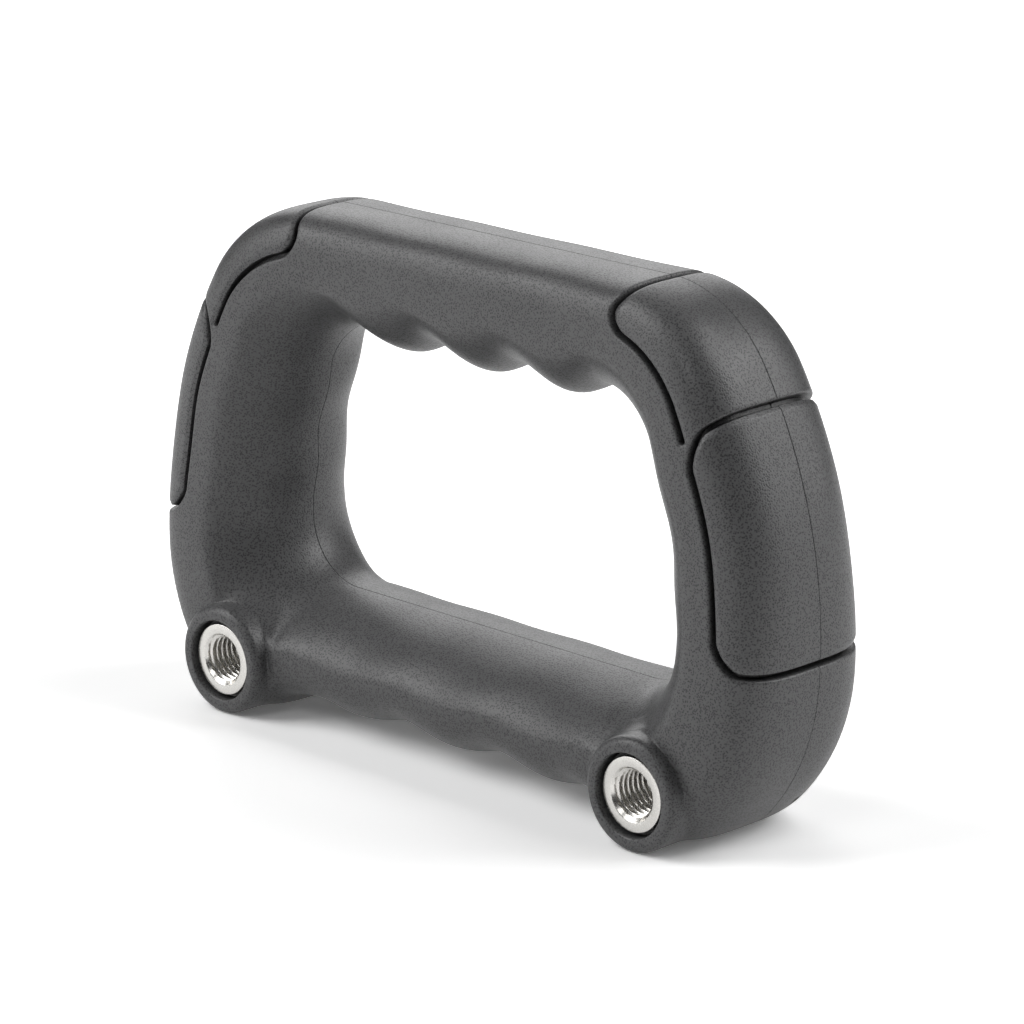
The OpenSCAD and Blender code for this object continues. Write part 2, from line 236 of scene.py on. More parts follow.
@dataclass(frozen=True)
class LoopForm:
    """The handle's outer form: both outlines, the ridges and the sections.

    Lengths are in mm and angles in degrees. Stations run once round the loop from 0 to 10: 0 is the
    middle of the grip, 1 the end of its straight run, 2 the end of the upper corner, 3 the end of
    the bulged side, 4 the end of the foot and 5 the middle of the base bar. The left half mirrors
    the right one.
    """

    width: float = 156.8
    height: float = 99.4
    seam: float = 23.0
    hole_height: float = 10.7
    corner_r: float = 26.5
    corner_sweep: float = 58.0
    side_sweep: float = 36.0
    knee_r: float = 44.0
    knee_sweep: float = 37.0
    foot_r: float = 16.5
    foot_land: float = 4.0
    foot_flat: float = 0.3
    base_lift: float = 3.8
    lift_r: float = 8.0
    opening_w: float = 102.6
    opening_h: float = 53.8
    base_bar_h: float = 23.7
    upper_r: float = 16.0
    upper_sweep: float = 70.0
    lower_r: float = 12.5
    leg_ridges_h: float = 54.2
    grip_row: RidgeRow = RidgeRow(3, 21.0, 3.4)
    base_row: RidgeRow = RidgeRow(3, 25.2, 2.3)
    leg_row: RidgeRow = RidgeRow(2, 15.5, 0.9)
    front: HalfSection = HalfSection((14.0, 17.2, 20.3, 18.6), 3.7, 2.2, 1.7)
    rear: HalfSection = HalfSection((13.5, 15.4, 17.6, 17.2), 3.0, 2.4, 2.1)

    @property
    def floor(self) -> float:
        """Height of the feet's undersides."""
        return -self.hole_height

    @staticmethod
    def _fall(r: float, start: float, end: float) -> float:
        """Height lost by an arc between two headings."""
        return r * (math.cos(math.radians(start)) - math.cos(math.radians(end)))

    @staticmethod
    def _reach(r: float, start: float, end: float) -> float:
        """Width gained by an arc between two headings."""
        return r * (math.sin(math.radians(end)) - math.sin(math.radians(start)))

    @property
    def side_r(self) -> float:
        """Radius of the bulged sides.

        Returns:
            The radius in mm that closes the outline.
        """
        side = self.corner_sweep + self.side_sweep
        knee = side + self.knee_sweep
        left = self.height + self.foot_flat - self._fall(self.corner_r, 0, self.corner_sweep)
        left -= self._fall(self.knee_r, side, knee) + self._fall(self.foot_r, knee, 180)
        return left / (math.cos(math.radians(self.corner_sweep)) - math.cos(math.radians(side)))

    def outer(self) -> Outline:
        """The outer outline.

        Returns:
            The outline, which dips a little below the feet.
        """
        side = self.corner_sweep + self.side_sweep
        knee = side + self.knee_sweep
        half_grip = self.width / 2 - self._reach(self.corner_r, 0, self.corner_sweep)
        half_grip -= self._reach(self.side_r, self.corner_sweep, 90)
        foot_x = half_grip + self._reach(self.corner_r, 0, self.corner_sweep)
        foot_x += self._reach(self.side_r, self.corner_sweep, side)
        foot_x += self._reach(self.knee_r, side, knee) + self._reach(self.foot_r, knee, 180)
        lift = math.degrees(math.acos(1 - (self.base_lift + self.foot_flat) / (2 * self.lift_r)))
        half_base = foot_x - self.foot_land - 2 * self.lift_r * math.sin(math.radians(lift))
        foot = [
            Leg(0, self.knee_r, self.knee_sweep),
            Leg(0, self.foot_r, 180 - knee),
            Leg(0, self.foot_land, 0),
            Leg(0, self.lift_r, lift),
            Leg(0, self.lift_r, -lift),
        ]
        ends = 3 + np.cumsum([leg.length for leg in foot]) / sum(leg.length for leg in foot)
        legs = [
            Leg(1, half_grip, 0),
            Leg(2, self.corner_r, self.corner_sweep),
            Leg(3, self.side_r, self.side_sweep),
            *(Leg(float(end), leg.size, leg.turn) for end, leg in zip(ends, foot)),
            Leg(5, half_base, 0),
        ]
        return Outline(tuple(legs), self.height - self.hole_height)

    def inner(self) -> Outline:
        """The outline of the hand opening.

        Returns:
            The outline, without its ridges.
        """
        turn = self.upper_sweep
        side_r = self.opening_h - self._fall(self.upper_r, 0, turn) - self.lower_r
        side_r /= math.cos(math.radians(turn))
        half = self.opening_w / 2 - self._reach(self.upper_r, 0, turn)
        half -= self._reach(side_r, turn, 90)
        legs = (
            Leg(1, half, 0),
            Leg(2, self.upper_r, turn),
            Leg(3, side_r, 90 - turn),
            Leg(4, self.lower_r, 90),
            Leg(5, self.opening_w / 2 - self.lower_r, 0),
        )
        return Outline(legs, self.base_bar_h - self.hole_height + self.opening_h)

    @staticmethod
    def folded(stations: np.ndarray) -> np.ndarray:
        """Stations of the right half that mirror the given ones."""
        return np.where(stations > 5, 10 - stations, stations)

    def section(self, stations: np.ndarray) -> tuple[np.ndarray, np.ndarray]:
        """Where the sections meet the seam.

        Args:
            stations: stations from 0 to 10.

        Returns:
            The outer and the inner points, as rows of [x, z].
        """
        s = self.folded(stations)
        mirror = np.where(stations > 5, -1.0, 1.0)
        outer, inner = self.outer().points(s), self.inner().points(s)
        outer[:, 1] -= np.where(s > 4, self.base_row.rise(outer[:, 0]), 0)
        swell = self.leg_row.rise(inner[:, 1] - (self.leg_ridges_h - self.hole_height))
        inner[:, 1] -= np.where(s < 1.5, self.grip_row.rise(inner[:, 0]), 0)
        inner[:, 0] -= np.where((s > 1.5) & (s < 4), swell, 0)
        outer[:, 0] *= mirror
        inner[:, 0] *= mirror
        return outer, inner

    def skin(self, half: Half, stations: np.ndarray, phi: np.ndarray) -> np.ndarray:
        """Points of a half shell's skin.

        Args:
            half: the half shell.
            stations: stations from 0 to 10.
            phi: angles round the section in degrees, as many as there are stations.

        Returns:
            Points as rows of [x, y, z] in mm.
        """
        shape = self.front if half is Half.FRONT else self.rear
        outer, inner = self.section(stations)
        half_w = np.linalg.norm(outer - inner, axis=1) / 2
        way = (outer - inner) / (2 * half_w[:, None])
        folded = self.folded(stations)
        across, deep = shape.share(folded, phi)
        flat = (outer + inner) / 2 + (half_w * across)[:, None] * way
        y = self.seam + half.value * shape.depth(folded) * deep
        return np.stack([flat[:, 0], y, np.maximum(flat[:, 1], self.floor)], axis=1)


@dataclass(frozen=True)
class PanelGrooves:
    """The moulded grooves that frame the corner and side panels.

    Attributes:
        form: the handle's form.
        edge: angle round the section at which the panels end, in degrees.
        corner_r: radius of the panels' corners in mm.
        turn_per_mm: degrees of section angle for each mm across the skin there.
        corner_start: length from the straight grip to the corner panel, in mm.
        corner_short: length from a corner groove's blind end to the side panel, in mm.
        side_start: length from the top of the bulged side to the side panel, in mm.
        side_end: length from the side panel to the bottom of the bulged side, in mm.
    """

    form: LoopForm
    edge: float = 81.0
    corner_r: float = 6.0
    turn_per_mm: float = 3.6
    corner_start: float = 1.0
    corner_short: float = 0.9
    side_start: float = 7.0
    side_end: float = 4.4

    # Depth of a groove by distance from its centre line: a flat floor, steep walls, rounded edges
    PROFILE = (
        (0.0, 2.1), (0.34, 2.1), (0.41, 1.9), (0.47, 1.3), (0.53, 0.66),
        (0.6, 0.32), (0.7, 0.15), (0.85, 0.06), (1.05, 0.01), (1.3, 0.0),
    )
    # The same for the bevel along the panel's edge
    BEVEL = ((0.0, 0.42), (0.5, 0.42), (1.35, 0.05), (1.6, 0.0))
    # Step from the centre lines to the lines that tell the panel's side, in mm
    ASIDE = 0.25
    # Points of a crosswise and a lengthwise stretch, and degrees from point to point of a turn
    CROSS_POINTS, RUN_POINTS, TURN_STEP = 40, 60, 3.0
    # How far round a groove the skin is looked at, in mm, and how many points at a time
    NEARBY, AT_ONCE = 4, 4000

    @property
    def corner_len(self) -> float:
        """Length of an upper corner along the outer outline."""
        return self.form.corner_r * math.radians(self.form.corner_sweep)

    @property
    def side_len(self) -> float:
        """Length of a bulged side along the outer outline."""
        return self.form.side_r * math.radians(self.form.side_sweep)

    @property
    def cross_end(self) -> float:
        """Section angle at which a crosswise stretch starts to turn."""
        return self.edge - self.corner_r * self.turn_per_mm

    @property
    def stations(self) -> tuple[float, float, float, float]:
        """Where the crosswise stretches of the grooves lie.

        Returns:
            Stations of the corner panel's start and blind end and of the side panel's ends.
        """
        side_start = 2 + self.side_start / self.side_len
        return (
            1 + self.corner_start / self.corner_len,
            side_start - self.corner_short / self.side_len,
            side_start,
            3 - self.side_end / self.side_len,
        )

    def _turn(self, q: float, dq: float) -> np.ndarray:
        """The rounded turn from a crosswise to a lengthwise stretch.

        Args:
            q: station of the crosswise stretch.
            dq: stations from there to the end of the turn.

        Returns:
            Rows of [station, angle].
        """
        t = np.radians(np.arange(0, 90, self.TURN_STEP))
        up = self.cross_end + (self.edge - self.cross_end) * np.sin(t)
        return np.stack([q + dq * (1 - np.cos(t)), up], axis=1)

    def _cross(self, q: float) -> np.ndarray:
        """A crosswise stretch from the outer seam, as rows of [station, angle]."""
        shares = np.linspace(0, 1, self.CROSS_POINTS, endpoint=False) ** 2
        return np.stack([np.full(self.CROSS_POINTS, q), self.cross_end * shares], axis=1)

    def _run(self, start: float, end: float) -> np.ndarray:
        """A lengthwise stretch, as rows of [station, angle]."""
        q = np.linspace(start, end, self.RUN_POINTS)
        return np.stack([q, np.full(self.RUN_POINTS, self.edge)], axis=1)

    def routes(self) -> list[np.ndarray]:
        """The centre lines of the grooves of the right side.

        Returns:
            The corner groove and the side groove, as rows of [station, angle].
        """
        corner, blind, top, bottom = self.stations
        turn_c, turn_s = self.corner_r / self.corner_len, self.corner_r / self.side_len
        corner_groove = [
            self._cross(corner),
            self._turn(corner, turn_c),
            self._run(corner + turn_c, blind),
        ]
        side_groove = [
            self._cross(top),
            self._turn(top, turn_s),
            self._run(top + turn_s, bottom - turn_s),
            self._turn(bottom, -turn_s)[::-1],
            self._cross(bottom)[::-1],
        ]
        return [np.concatenate(corner_groove), np.concatenate(side_groove)]

    def sunk(self, half: Half, points: np.ndarray) -> np.ndarray:
        """How deep the grooves lie at points of the skin.

        Args:
            half: the half shell.
            points: points of the skin as rows of [x, y, z].

        Returns:
            Depths in mm, 0 away from the grooves.
        """
        inner = replace(
            self,
            edge=self.edge - self.ASIDE * self.turn_per_mm,
            corner_start=self.corner_start + self.ASIDE,
            side_start=self.side_start + self.ASIDE,
            side_end=self.side_end + self.ASIDE,
        )
        near = points.copy()
        near[:, 0] = np.abs(near[:, 0])
        deepest = np.zeros(len(near))
        for route, beside in zip(self.routes(), inner.routes()):
            line = self.form.skin(half, route[:, 0], route[:, 1])
            aside = self.form.skin(half, beside[:, 0], beside[:, 1])
            low, high = line.min(axis=0) - self.NEARBY, line.max(axis=0) + self.NEARBY
            at = np.flatnonzero(((near > low) & (near < high)).all(axis=1))
            for part in np.array_split(at, max(1, len(at) // self.AT_ONCE)):
                off = line_distance(near[part], line)
                panel = np.clip((off - line_distance(near[part], aside)) / self.ASIDE, 0, 1)
                groove = np.interp(off, *np.array(self.PROFILE).T)
                bevel = np.interp(off, *np.array(self.BEVEL).T) * panel
                deepest[part] = np.maximum(deepest[part], np.maximum(groove, bevel))
        return deepest


def line_distance(points: np.ndarray, line: np.ndarray) -> np.ndarray:
    """Distance of points from a polyline.

    Args:
        points: points as rows.
        line: the polyline's points as rows.

    Returns:
        The distances.
    """
    a, d = line[:-1], line[1:] - line[:-1]
    size = (d * d).sum(axis=1)
    keep = size > 1e-12
    a, d, size = a[keep], d[keep], size[keep]
    rel = points[:, None, :] - a[None]
    t = np.clip((rel * d[None]).sum(axis=2) / size[None], 0, 1)
    gap = rel - t[..., None] * d[None]
    return np.sqrt((gap * gap).sum(axis=2).min(axis=1))


@dataclass
class Patchwork:
    """Vertices and faces gathered for one mesh, in mm.

    Attributes:
        points: blocks of vertices.
        quads: blocks of four-cornered faces.
        corners: blocks of triangles.
    """

    points: list[np.ndarray] = field(default_factory=list)
    quads: list[np.ndarray] = field(default_factory=list)
    corners: list[np.ndarray] = field(default_factory=list)

    def add(self, points: np.ndarray) -> np.ndarray:
        """Adds vertices.

        Args:
            points: vertices in rows or in a grid, as [..., x, y, z].

        Returns:
            Their indices, in the same layout.
        """
        first = sum(len(block) for block in self.points)
        self.points.append(points.reshape(-1, 3))
        return np.arange(first, first + points[..., 0].size).reshape(points.shape[:-1])

    def sheet(self, index: np.ndarray, around: bool = False, flip: bool = False) -> None:
        """Adds the faces of a grid of vertices.

        Args:
            index: the grid's vertex indices.
            around: whether its last row joins its first.
            flip: whether the faces look the other way.
        """
        cells = grid_cells(index) if around else grid_cells(index)[:-1]
        self.faces(cells.reshape(-1, 4), flip)

    def faces(self, block: np.ndarray, flip: bool = False) -> None:
        """Adds a block of faces with three or four corners each.

        Args:
            block: the faces' vertex indices as rows.
            flip: whether the faces look the other way.
        """
        kind = self.quads if block.shape[1] == 4 else self.corners
        kind.append(block[:, ::-1] if flip else block)

    def fan(self, ring: np.ndarray, hub: np.ndarray, flip: bool = False) -> None:
        """Closes a ring of vertices with triangles that meet in a hub.

        Args:
            ring: indices of the ring's vertices.
            hub: place of the hub in mm.
            flip: whether the triangles look the other way.
        """
        middle = np.full(len(ring), self.add(hub[None])[0])
        self.faces(np.stack([ring, middle, np.roll(ring, -1)], axis=1), flip)

    def shaped(self, name: str, sharp: float = SHARP) -> bpy.types.Object:
        """Makes the mesh object, smooth except at sharp edges.

        Args:
            name: name of the object.
            sharp: angle in degrees from which an edge stays sharp.

        Returns:
            The object, linked to the scene.
        """
        points = np.concatenate(self.points) * MM
        loops = [np.concatenate(b) for b in (self.quads, self.corners) if b]
        corners = np.concatenate([block.ravel() for block in loops])
        totals = np.concatenate([np.full(len(block), block.shape[1]) for block in loops])
        used, corners = np.unique(corners, return_inverse=True)
        mesh = bpy.data.meshes.new(name)
        mesh.vertices.add(len(used))
        mesh.vertices.foreach_set("co", points[used].ravel().astype(np.float32))
        mesh.loops.add(len(corners))
        mesh.loops.foreach_set("vertex_index", corners.ravel().astype(np.int32))
        mesh.polygons.add(len(totals))
        starts = np.concatenate([[0], np.cumsum(totals)[:-1]])
        mesh.polygons.foreach_set("loop_start", starts.astype(np.int32))
        mesh.update(calc_edges=True)
        mesh.validate()
        mesh.shade_smooth()
        mesh.set_sharp_from_angle(angle=math.radians(sharp))
        body = bpy.data.objects.new(name, mesh)
        bpy.context.scene.collection.objects.link(body)
        return body


@dataclass(frozen=True)
class SeamEdge:
    """The slightly rounded edge that each half shell has at the seam.

    Attributes:
        radius: its radius in mm.
    """

    radius: float = 0.16

    def sunk(self, off: np.ndarray) -> np.ndarray:
        """How far the skin falls back near the seam.

        Args:
            off: distance from the seam along the skin, in mm.

        Returns:
            Depths in mm.
        """
        left = np.clip(self.radius - off, 0, self.radius)
        return self.radius - np.sqrt(self.radius**2 - left**2)


@dataclass(frozen=True)
class SkinGrid:
    """The points of a shell's skin, with one row for each section all round the loop.

    Attributes:
        params: their stations and angles.
        plain: the points before grooves and rounded edges are pressed into the skin, in mm.
        final: the points after that.
    """

    params: np.ndarray
    plain: np.ndarray
    final: np.ndarray


@dataclass
class ShellSkin:
    """The skin of one half shell as a grid of points whose lines follow the grooves.

    Attributes:
        form: the handle's form.
        grooves: the panel grooves.
        half: which half shell it is.
        edge: the rounded edge at the seam.
        step: spacing of the sections away from the grooves, in mm.
    """

    form: LoopForm
    grooves: PanelGrooves
    half: Half
    edge: SeamEdge = SeamEdge()
    step: float = 1.05

    # Distances from a groove's centre line and from a seam at which the grid has lines, in mm
    ALIGNED = (0.0, 0.2, 0.34, 0.41, 0.47, 0.53, 0.6, 0.7, 0.85, 1.05, 1.35, 1.6)
    SEAM_LINES = (0.0, 0.05, 0.1, 0.16, 0.26, 0.45, 0.75, 1.2)
    # Spacing of the sections through a groove's turn, and how far past it they reach, in mm
    FINE, PAST_TURN = 0.19, 1.3
    # Sections round a corner groove's blind end: first, last and spacing in mm, and the land kept
    BLIND_END, LAND = (-0.7, 1.3, 0.2), 0.1
    # Where the lines through a groove's turn start before it, in mm
    BEFORE_TURN = 1.2
    # Lines from a seam to the turn, through the turn, and from the groove to the inner seam
    LINES = (16, 26, 27)
    # Lengths past the panels over which the lines keep to the grooves and then even out, in mm
    HOLD, EVEN_OUT = 4, 10
    # Length over which the shift beside a crosswise groove fades, in mm, its points round the
    # section, and the stations to both sides of the groove between which it is measured
    FADE, SHIFT_POINTS, BESIDE = 6.0, 40, 0.004
    # Steps of the tables of lengths along the outline and round a section
    TABLE, ARC_TABLE = 4001, 481
    # Share that the arc table's first angle keeps of its step, rising over so many angles
    ARC_START, ARC_CROWD = 0.02, 7

    def __post_init__(self) -> None:
        """Works out the tables that turn lengths along the outer outline into stations."""
        self._q = np.linspace(0, 5, self.TABLE)
        line = self.form.outer().points(self._q)
        steps = np.linalg.norm(np.diff(line, axis=0), axis=1)
        self._s = np.concatenate([[0], np.cumsum(steps)])

    def _length_at(self, station: float) -> float:
        """Length along the outer outline at a station."""
        return float(np.interp(station, self._q, self._s))

    def _lines(self) -> np.ndarray:
        """Where the sections lie over half a turn, with rows along every groove.

        Returns:
            Lengths along the outer outline in mm.
        """
        corner, blind, top, bottom = (self._length_at(q) for q in self.grooves.stations)
        both = [-v for v in self.ALIGNED[:0:-1]] + list(self.ALIGNED)
        past = self.grooves.corner_r + self.PAST_TURN
        turn = np.arange(self.ALIGNED[-1] + self.FINE, past, self.FINE)
        lines = [corner + v for v in both] + list(corner + turn)
        lines += [top + v for v in both] + list(top + turn)
        lines += [bottom + v for v in both] + list(bottom - turn)
        last = top - self.ALIGNED[-1] - self.LAND
        lines += [blind + v for v in np.arange(*self.BLIND_END) if blind + v < last]
        known = np.concatenate([[0.0], np.sort(lines), [self._s[-1]]])
        out = [known[:1]]
        for a, b in zip(known[:-1], known[1:]):
            count = max(1, round((b - a) / self.step))
            out.append(a + (b - a) * np.arange(1, count + 1) / count)
        return np.concatenate(out)

    def _arc(self, q: np.ndarray) -> tuple[np.ndarray, np.ndarray]:
        """A table of lengths round the section.

        Args:
            q: stations.

        Returns:
            Angles, and for each station the lengths along the skin up to them.
        """
        phi = 90 - 90 * np.cos(np.linspace(0, math.pi, self.ARC_TABLE))
        crowd = np.linspace(self.ARC_START, 1, self.ARC_CROWD)
        ends = len(crowd) + 1
        phi[1:ends] *= crowd
        phi[-ends:-1] = 180 - (180 - phi[-ends:-1]) * crowd[::-1]
        grid_q, grid_phi = np.repeat(q, len(phi)), np.tile(phi, len(q))
        at = self.form.skin(self.half, grid_q, grid_phi).reshape(len(q), len(phi), 3)
        steps = np.linalg.norm(np.diff(at, axis=1), axis=2)
        return phi, np.concatenate([np.zeros((len(q), 1)), np.cumsum(steps, axis=1)], axis=1)

    def _angles(self, q: np.ndarray, grooved: np.ndarray) -> tuple[np.ndarray, np.ndarray]:
        """Angle and distance from the nearer seam of every line round the section.

        Args:
            q: stations of the sections.
            grooved: 1 where the lines follow the grooves, 0 where they are evenly spaced.

        Returns:
            The angles in degrees and the distances in mm, one row for each station.
        """
        phi, arc = self._arc(q)
        seam = np.array(self.SEAM_LINES)
        both = np.concatenate([-np.array(self.ALIGNED[:0:-1]), self.ALIGNED])
        before, through, beyond = self.LINES
        angles, offs = [], []
        for row, w in enumerate(grooved):
            along, total = arc[row], arc[row, -1]
            at_edge = np.interp(self.grooves.edge, phi, along)
            at_turn = np.interp(self.grooves.cross_end, phi, along) - self.BEFORE_TURN
            marks = np.concatenate([
                np.linspace(seam[-1], at_turn, before)[1:],
                np.linspace(at_turn, at_edge + both[0], through)[1:-1],
                at_edge + both,
                np.linspace(at_edge + both[-1], total - seam[-1], beyond)[1:-1],
            ])
            even = np.linspace(seam[-1], total - seam[-1], len(marks) + 2)[1:-1]
            lines = np.concatenate([seam, w * marks + (1 - w) * even, total - seam[::-1]])
            angles.append(np.interp(lines, along, phi))
            offs.append(np.minimum(lines, total - lines))
        return np.array(angles), np.array(offs)

    def _aligned(self, lengths: np.ndarray, angles: np.ndarray) -> np.ndarray:
        """Stations of every grid point, shifted so that crosswise grooves keep their width.

        Args:
            lengths: the sections' lengths along the outer outline, over half a turn.
            angles: angles of the grid's points in degrees, one row for each section.

        Returns:
            Stations from 0 to 5, one row for each section.
        """
        out = np.repeat(lengths[:, None], angles.shape[1], axis=1)
        reach = self.ALIGNED[-1]
        phi = np.linspace(0, self.grooves.edge, self.SHIFT_POINTS)
        corner, _, top, bottom = self.grooves.stations
        for q in (corner, top, bottom):
            a, b = (self.form.skin(self.half, np.full(len(phi), at), phi)
                    for at in (q - self.BESIDE, q + self.BESIDE))
            size = np.linalg.norm(b - a, axis=1)
            factor = np.interp(np.minimum(angles, self.grooves.edge), phi, size[0] / size)
            off = lengths[:, None] - self._length_at(q)
            far = np.abs(off)
            shift = np.minimum(np.clip(reach * (1 - (far - reach) / self.FADE), 0, far), reach)
            out = out + (factor - 1) * np.where(far <= reach, off, shift * np.sign(off))
        return np.interp(out, self._s, self._q)

    def grid(self) -> SkinGrid:
        """Lays out the skin's points and presses grooves and rounded edges into it.

        Returns:
            The grid.
        """
        lengths = self._lines()
        start, *_, end = (self._length_at(q) for q in self.grooves.stations)
        out_by = np.maximum(np.maximum(start - lengths, lengths - end), 0)
        grooved = smooth(np.clip(1 - (out_by - self.HOLD) / self.EVEN_OUT, 0, 1))
        angles, offs = self._angles(np.interp(lengths, self._s, self._q), grooved)
        stations = self._aligned(lengths, angles)
        stations = np.concatenate([stations, 10 - stations[-2:0:-1]])
        angles = np.concatenate([angles, angles[-2:0:-1]])
        offs = np.concatenate([offs, offs[-2:0:-1]])
        plain = self.form.skin(self.half, stations.ravel() % 10, angles.ravel())
        sunk = self.grooves.sunk(self.half, plain).reshape(angles.shape)
        plain = plain.reshape(*angles.shape, 3)
        sunk = sunk + self.edge.sunk(offs)
        final = plain - self._normals(plain) * sunk[..., None]
        final[..., 2] = np.maximum(final[..., 2], self.form.floor)
        final[:, (0, -1), 1] = self.form.seam
        return SkinGrid(np.stack([stations, angles], axis=-1), plain, final)

    def _normals(self, grid: np.ndarray) -> np.ndarray:
        """Outward directions of the skin.

        Args:
            grid: the skin's points.

        Returns:
            Unit normals at the points.
        """
        across = np.roll(grid, -1, axis=0) - np.roll(grid, 1, axis=0)
        round_it = np.gradient(grid, axis=1)
        round_it[:, 0] = grid[:, 2] - grid[:, 0]
        round_it[:, -1] = grid[:, -1] - grid[:, -3]
        out = np.cross(across, round_it) * self.half.value
        return out / np.linalg.norm(out, axis=2, keepdims=True)


@dataclass(frozen=True)
class BossShape:
    """A screw boss with its rounded rim, the recess round the insert and the insert's pocket.

    Lengths are in mm; depths are measured from the boss face.
    """

    spacing: float = 108.0
    radius: float = 10.7
    rim_r: float = 1.6
    recess_r: float = 7.9
    recess_edge: float = 0.3
    recess_depth: float = 3.2
    recess_corner: float = 0.15
    pocket_r: float = 7.03
    pocket_depth: float = 18.03
    around: int = 132

    # Width of the blend into the body, by direction round the axis in degrees: 0 is outwards, 90 up
    BLEND_AT = (-180.0, -135.0, -100.0, -60.0, 0.0, 45.0, 90.0, 135.0, 180.0)
    BLEND = (4.6, 2.2, 0.4, 0.3, 0.6, 2.2, 3.0, 4.0, 4.6)
    # Elevation at which the patch starts, in degrees: low where the boss stands clear of the body,
    # which is within CLEAR of TOWARDS, and high past CLEAR + PASSING from there
    LOW, HIGH = 18.0, 46.0
    TOWARDS, CLEAR, PASSING = -45, 45, 60

    def blend(self, theta: np.ndarray) -> np.ndarray:
        """Width of the blend into the body.

        Args:
            theta: directions round the axis in radians.

        Returns:
            Widths in mm.
        """
        deg = (np.degrees(theta) + 180) % 360 - 180
        return np.interp(deg, self.BLEND_AT, self.BLEND)

    def cut(self, theta: np.ndarray) -> np.ndarray:
        """Elevation at which the boss's own patch begins, seen from the axis at the seam.

        Args:
            theta: directions round the axis in radians.

        Returns:
            Elevations in degrees.
        """
        deg = (np.degrees(theta) - self.TOWARDS + 180) % 360 - 180
        w = np.clip((self.CLEAR + self.PASSING - np.abs(deg)) / self.PASSING, 0, 1)
        return self.HIGH - (self.HIGH - self.LOW) * smooth(w)

    def rim(self, seam: float) -> tuple[float, float]:
        """Elevations in radians between which the rounded rim is seen from the axis at the seam."""
        low = math.atan2(seam - self.rim_r, self.radius)
        return low, math.atan2(seam, self.radius - self.rim_r)

    def reach(self, alpha: np.ndarray, seam: float) -> np.ndarray:
        """Distance from the axis at the seam to the boss's surface.

        Args:
            alpha: elevations in radians.
            seam: depth of the seam.

        Returns:
            Distances in mm.
        """
        wall = self.radius / np.cos(alpha)
        face = seam / np.maximum(np.sin(alpha), 1e-6)
        mid = np.array([self.radius - self.rim_r, seam - self.rim_r])
        way = np.stack([np.cos(alpha), np.sin(alpha)], axis=-1)
        b = way @ mid
        rim = b + np.sqrt(np.maximum(b * b - mid @ mid + self.rim_r**2, 0))
        low, high = self.rim(seam)
        return np.where(alpha < low, wall, np.where(alpha > high, face, rim))

    def inside(self) -> list[tuple[float, float]]:
        """Profile from the face inwards to the pocket's floor.

        Returns:
            Points as (radius, depth).
        """
        e = self.recess_edge
        edge = [
            (self.recess_r + e * (1 - math.sin(t)), e * (1 - math.cos(t)))
            for t in np.radians(np.linspace(0, 90, 5))
        ]
        return [
            ((self.radius - self.rim_r + self.recess_r + e) / 2, 0.0),
            *edge,
            (self.recess_r, self.recess_depth - self.recess_corner),
            (self.recess_r - self.recess_corner, self.recess_depth),
            (self.pocket_r, self.recess_depth),
            (self.pocket_r, self.pocket_depth),
            (self.pocket_r * 0.5, self.pocket_depth),
        ]


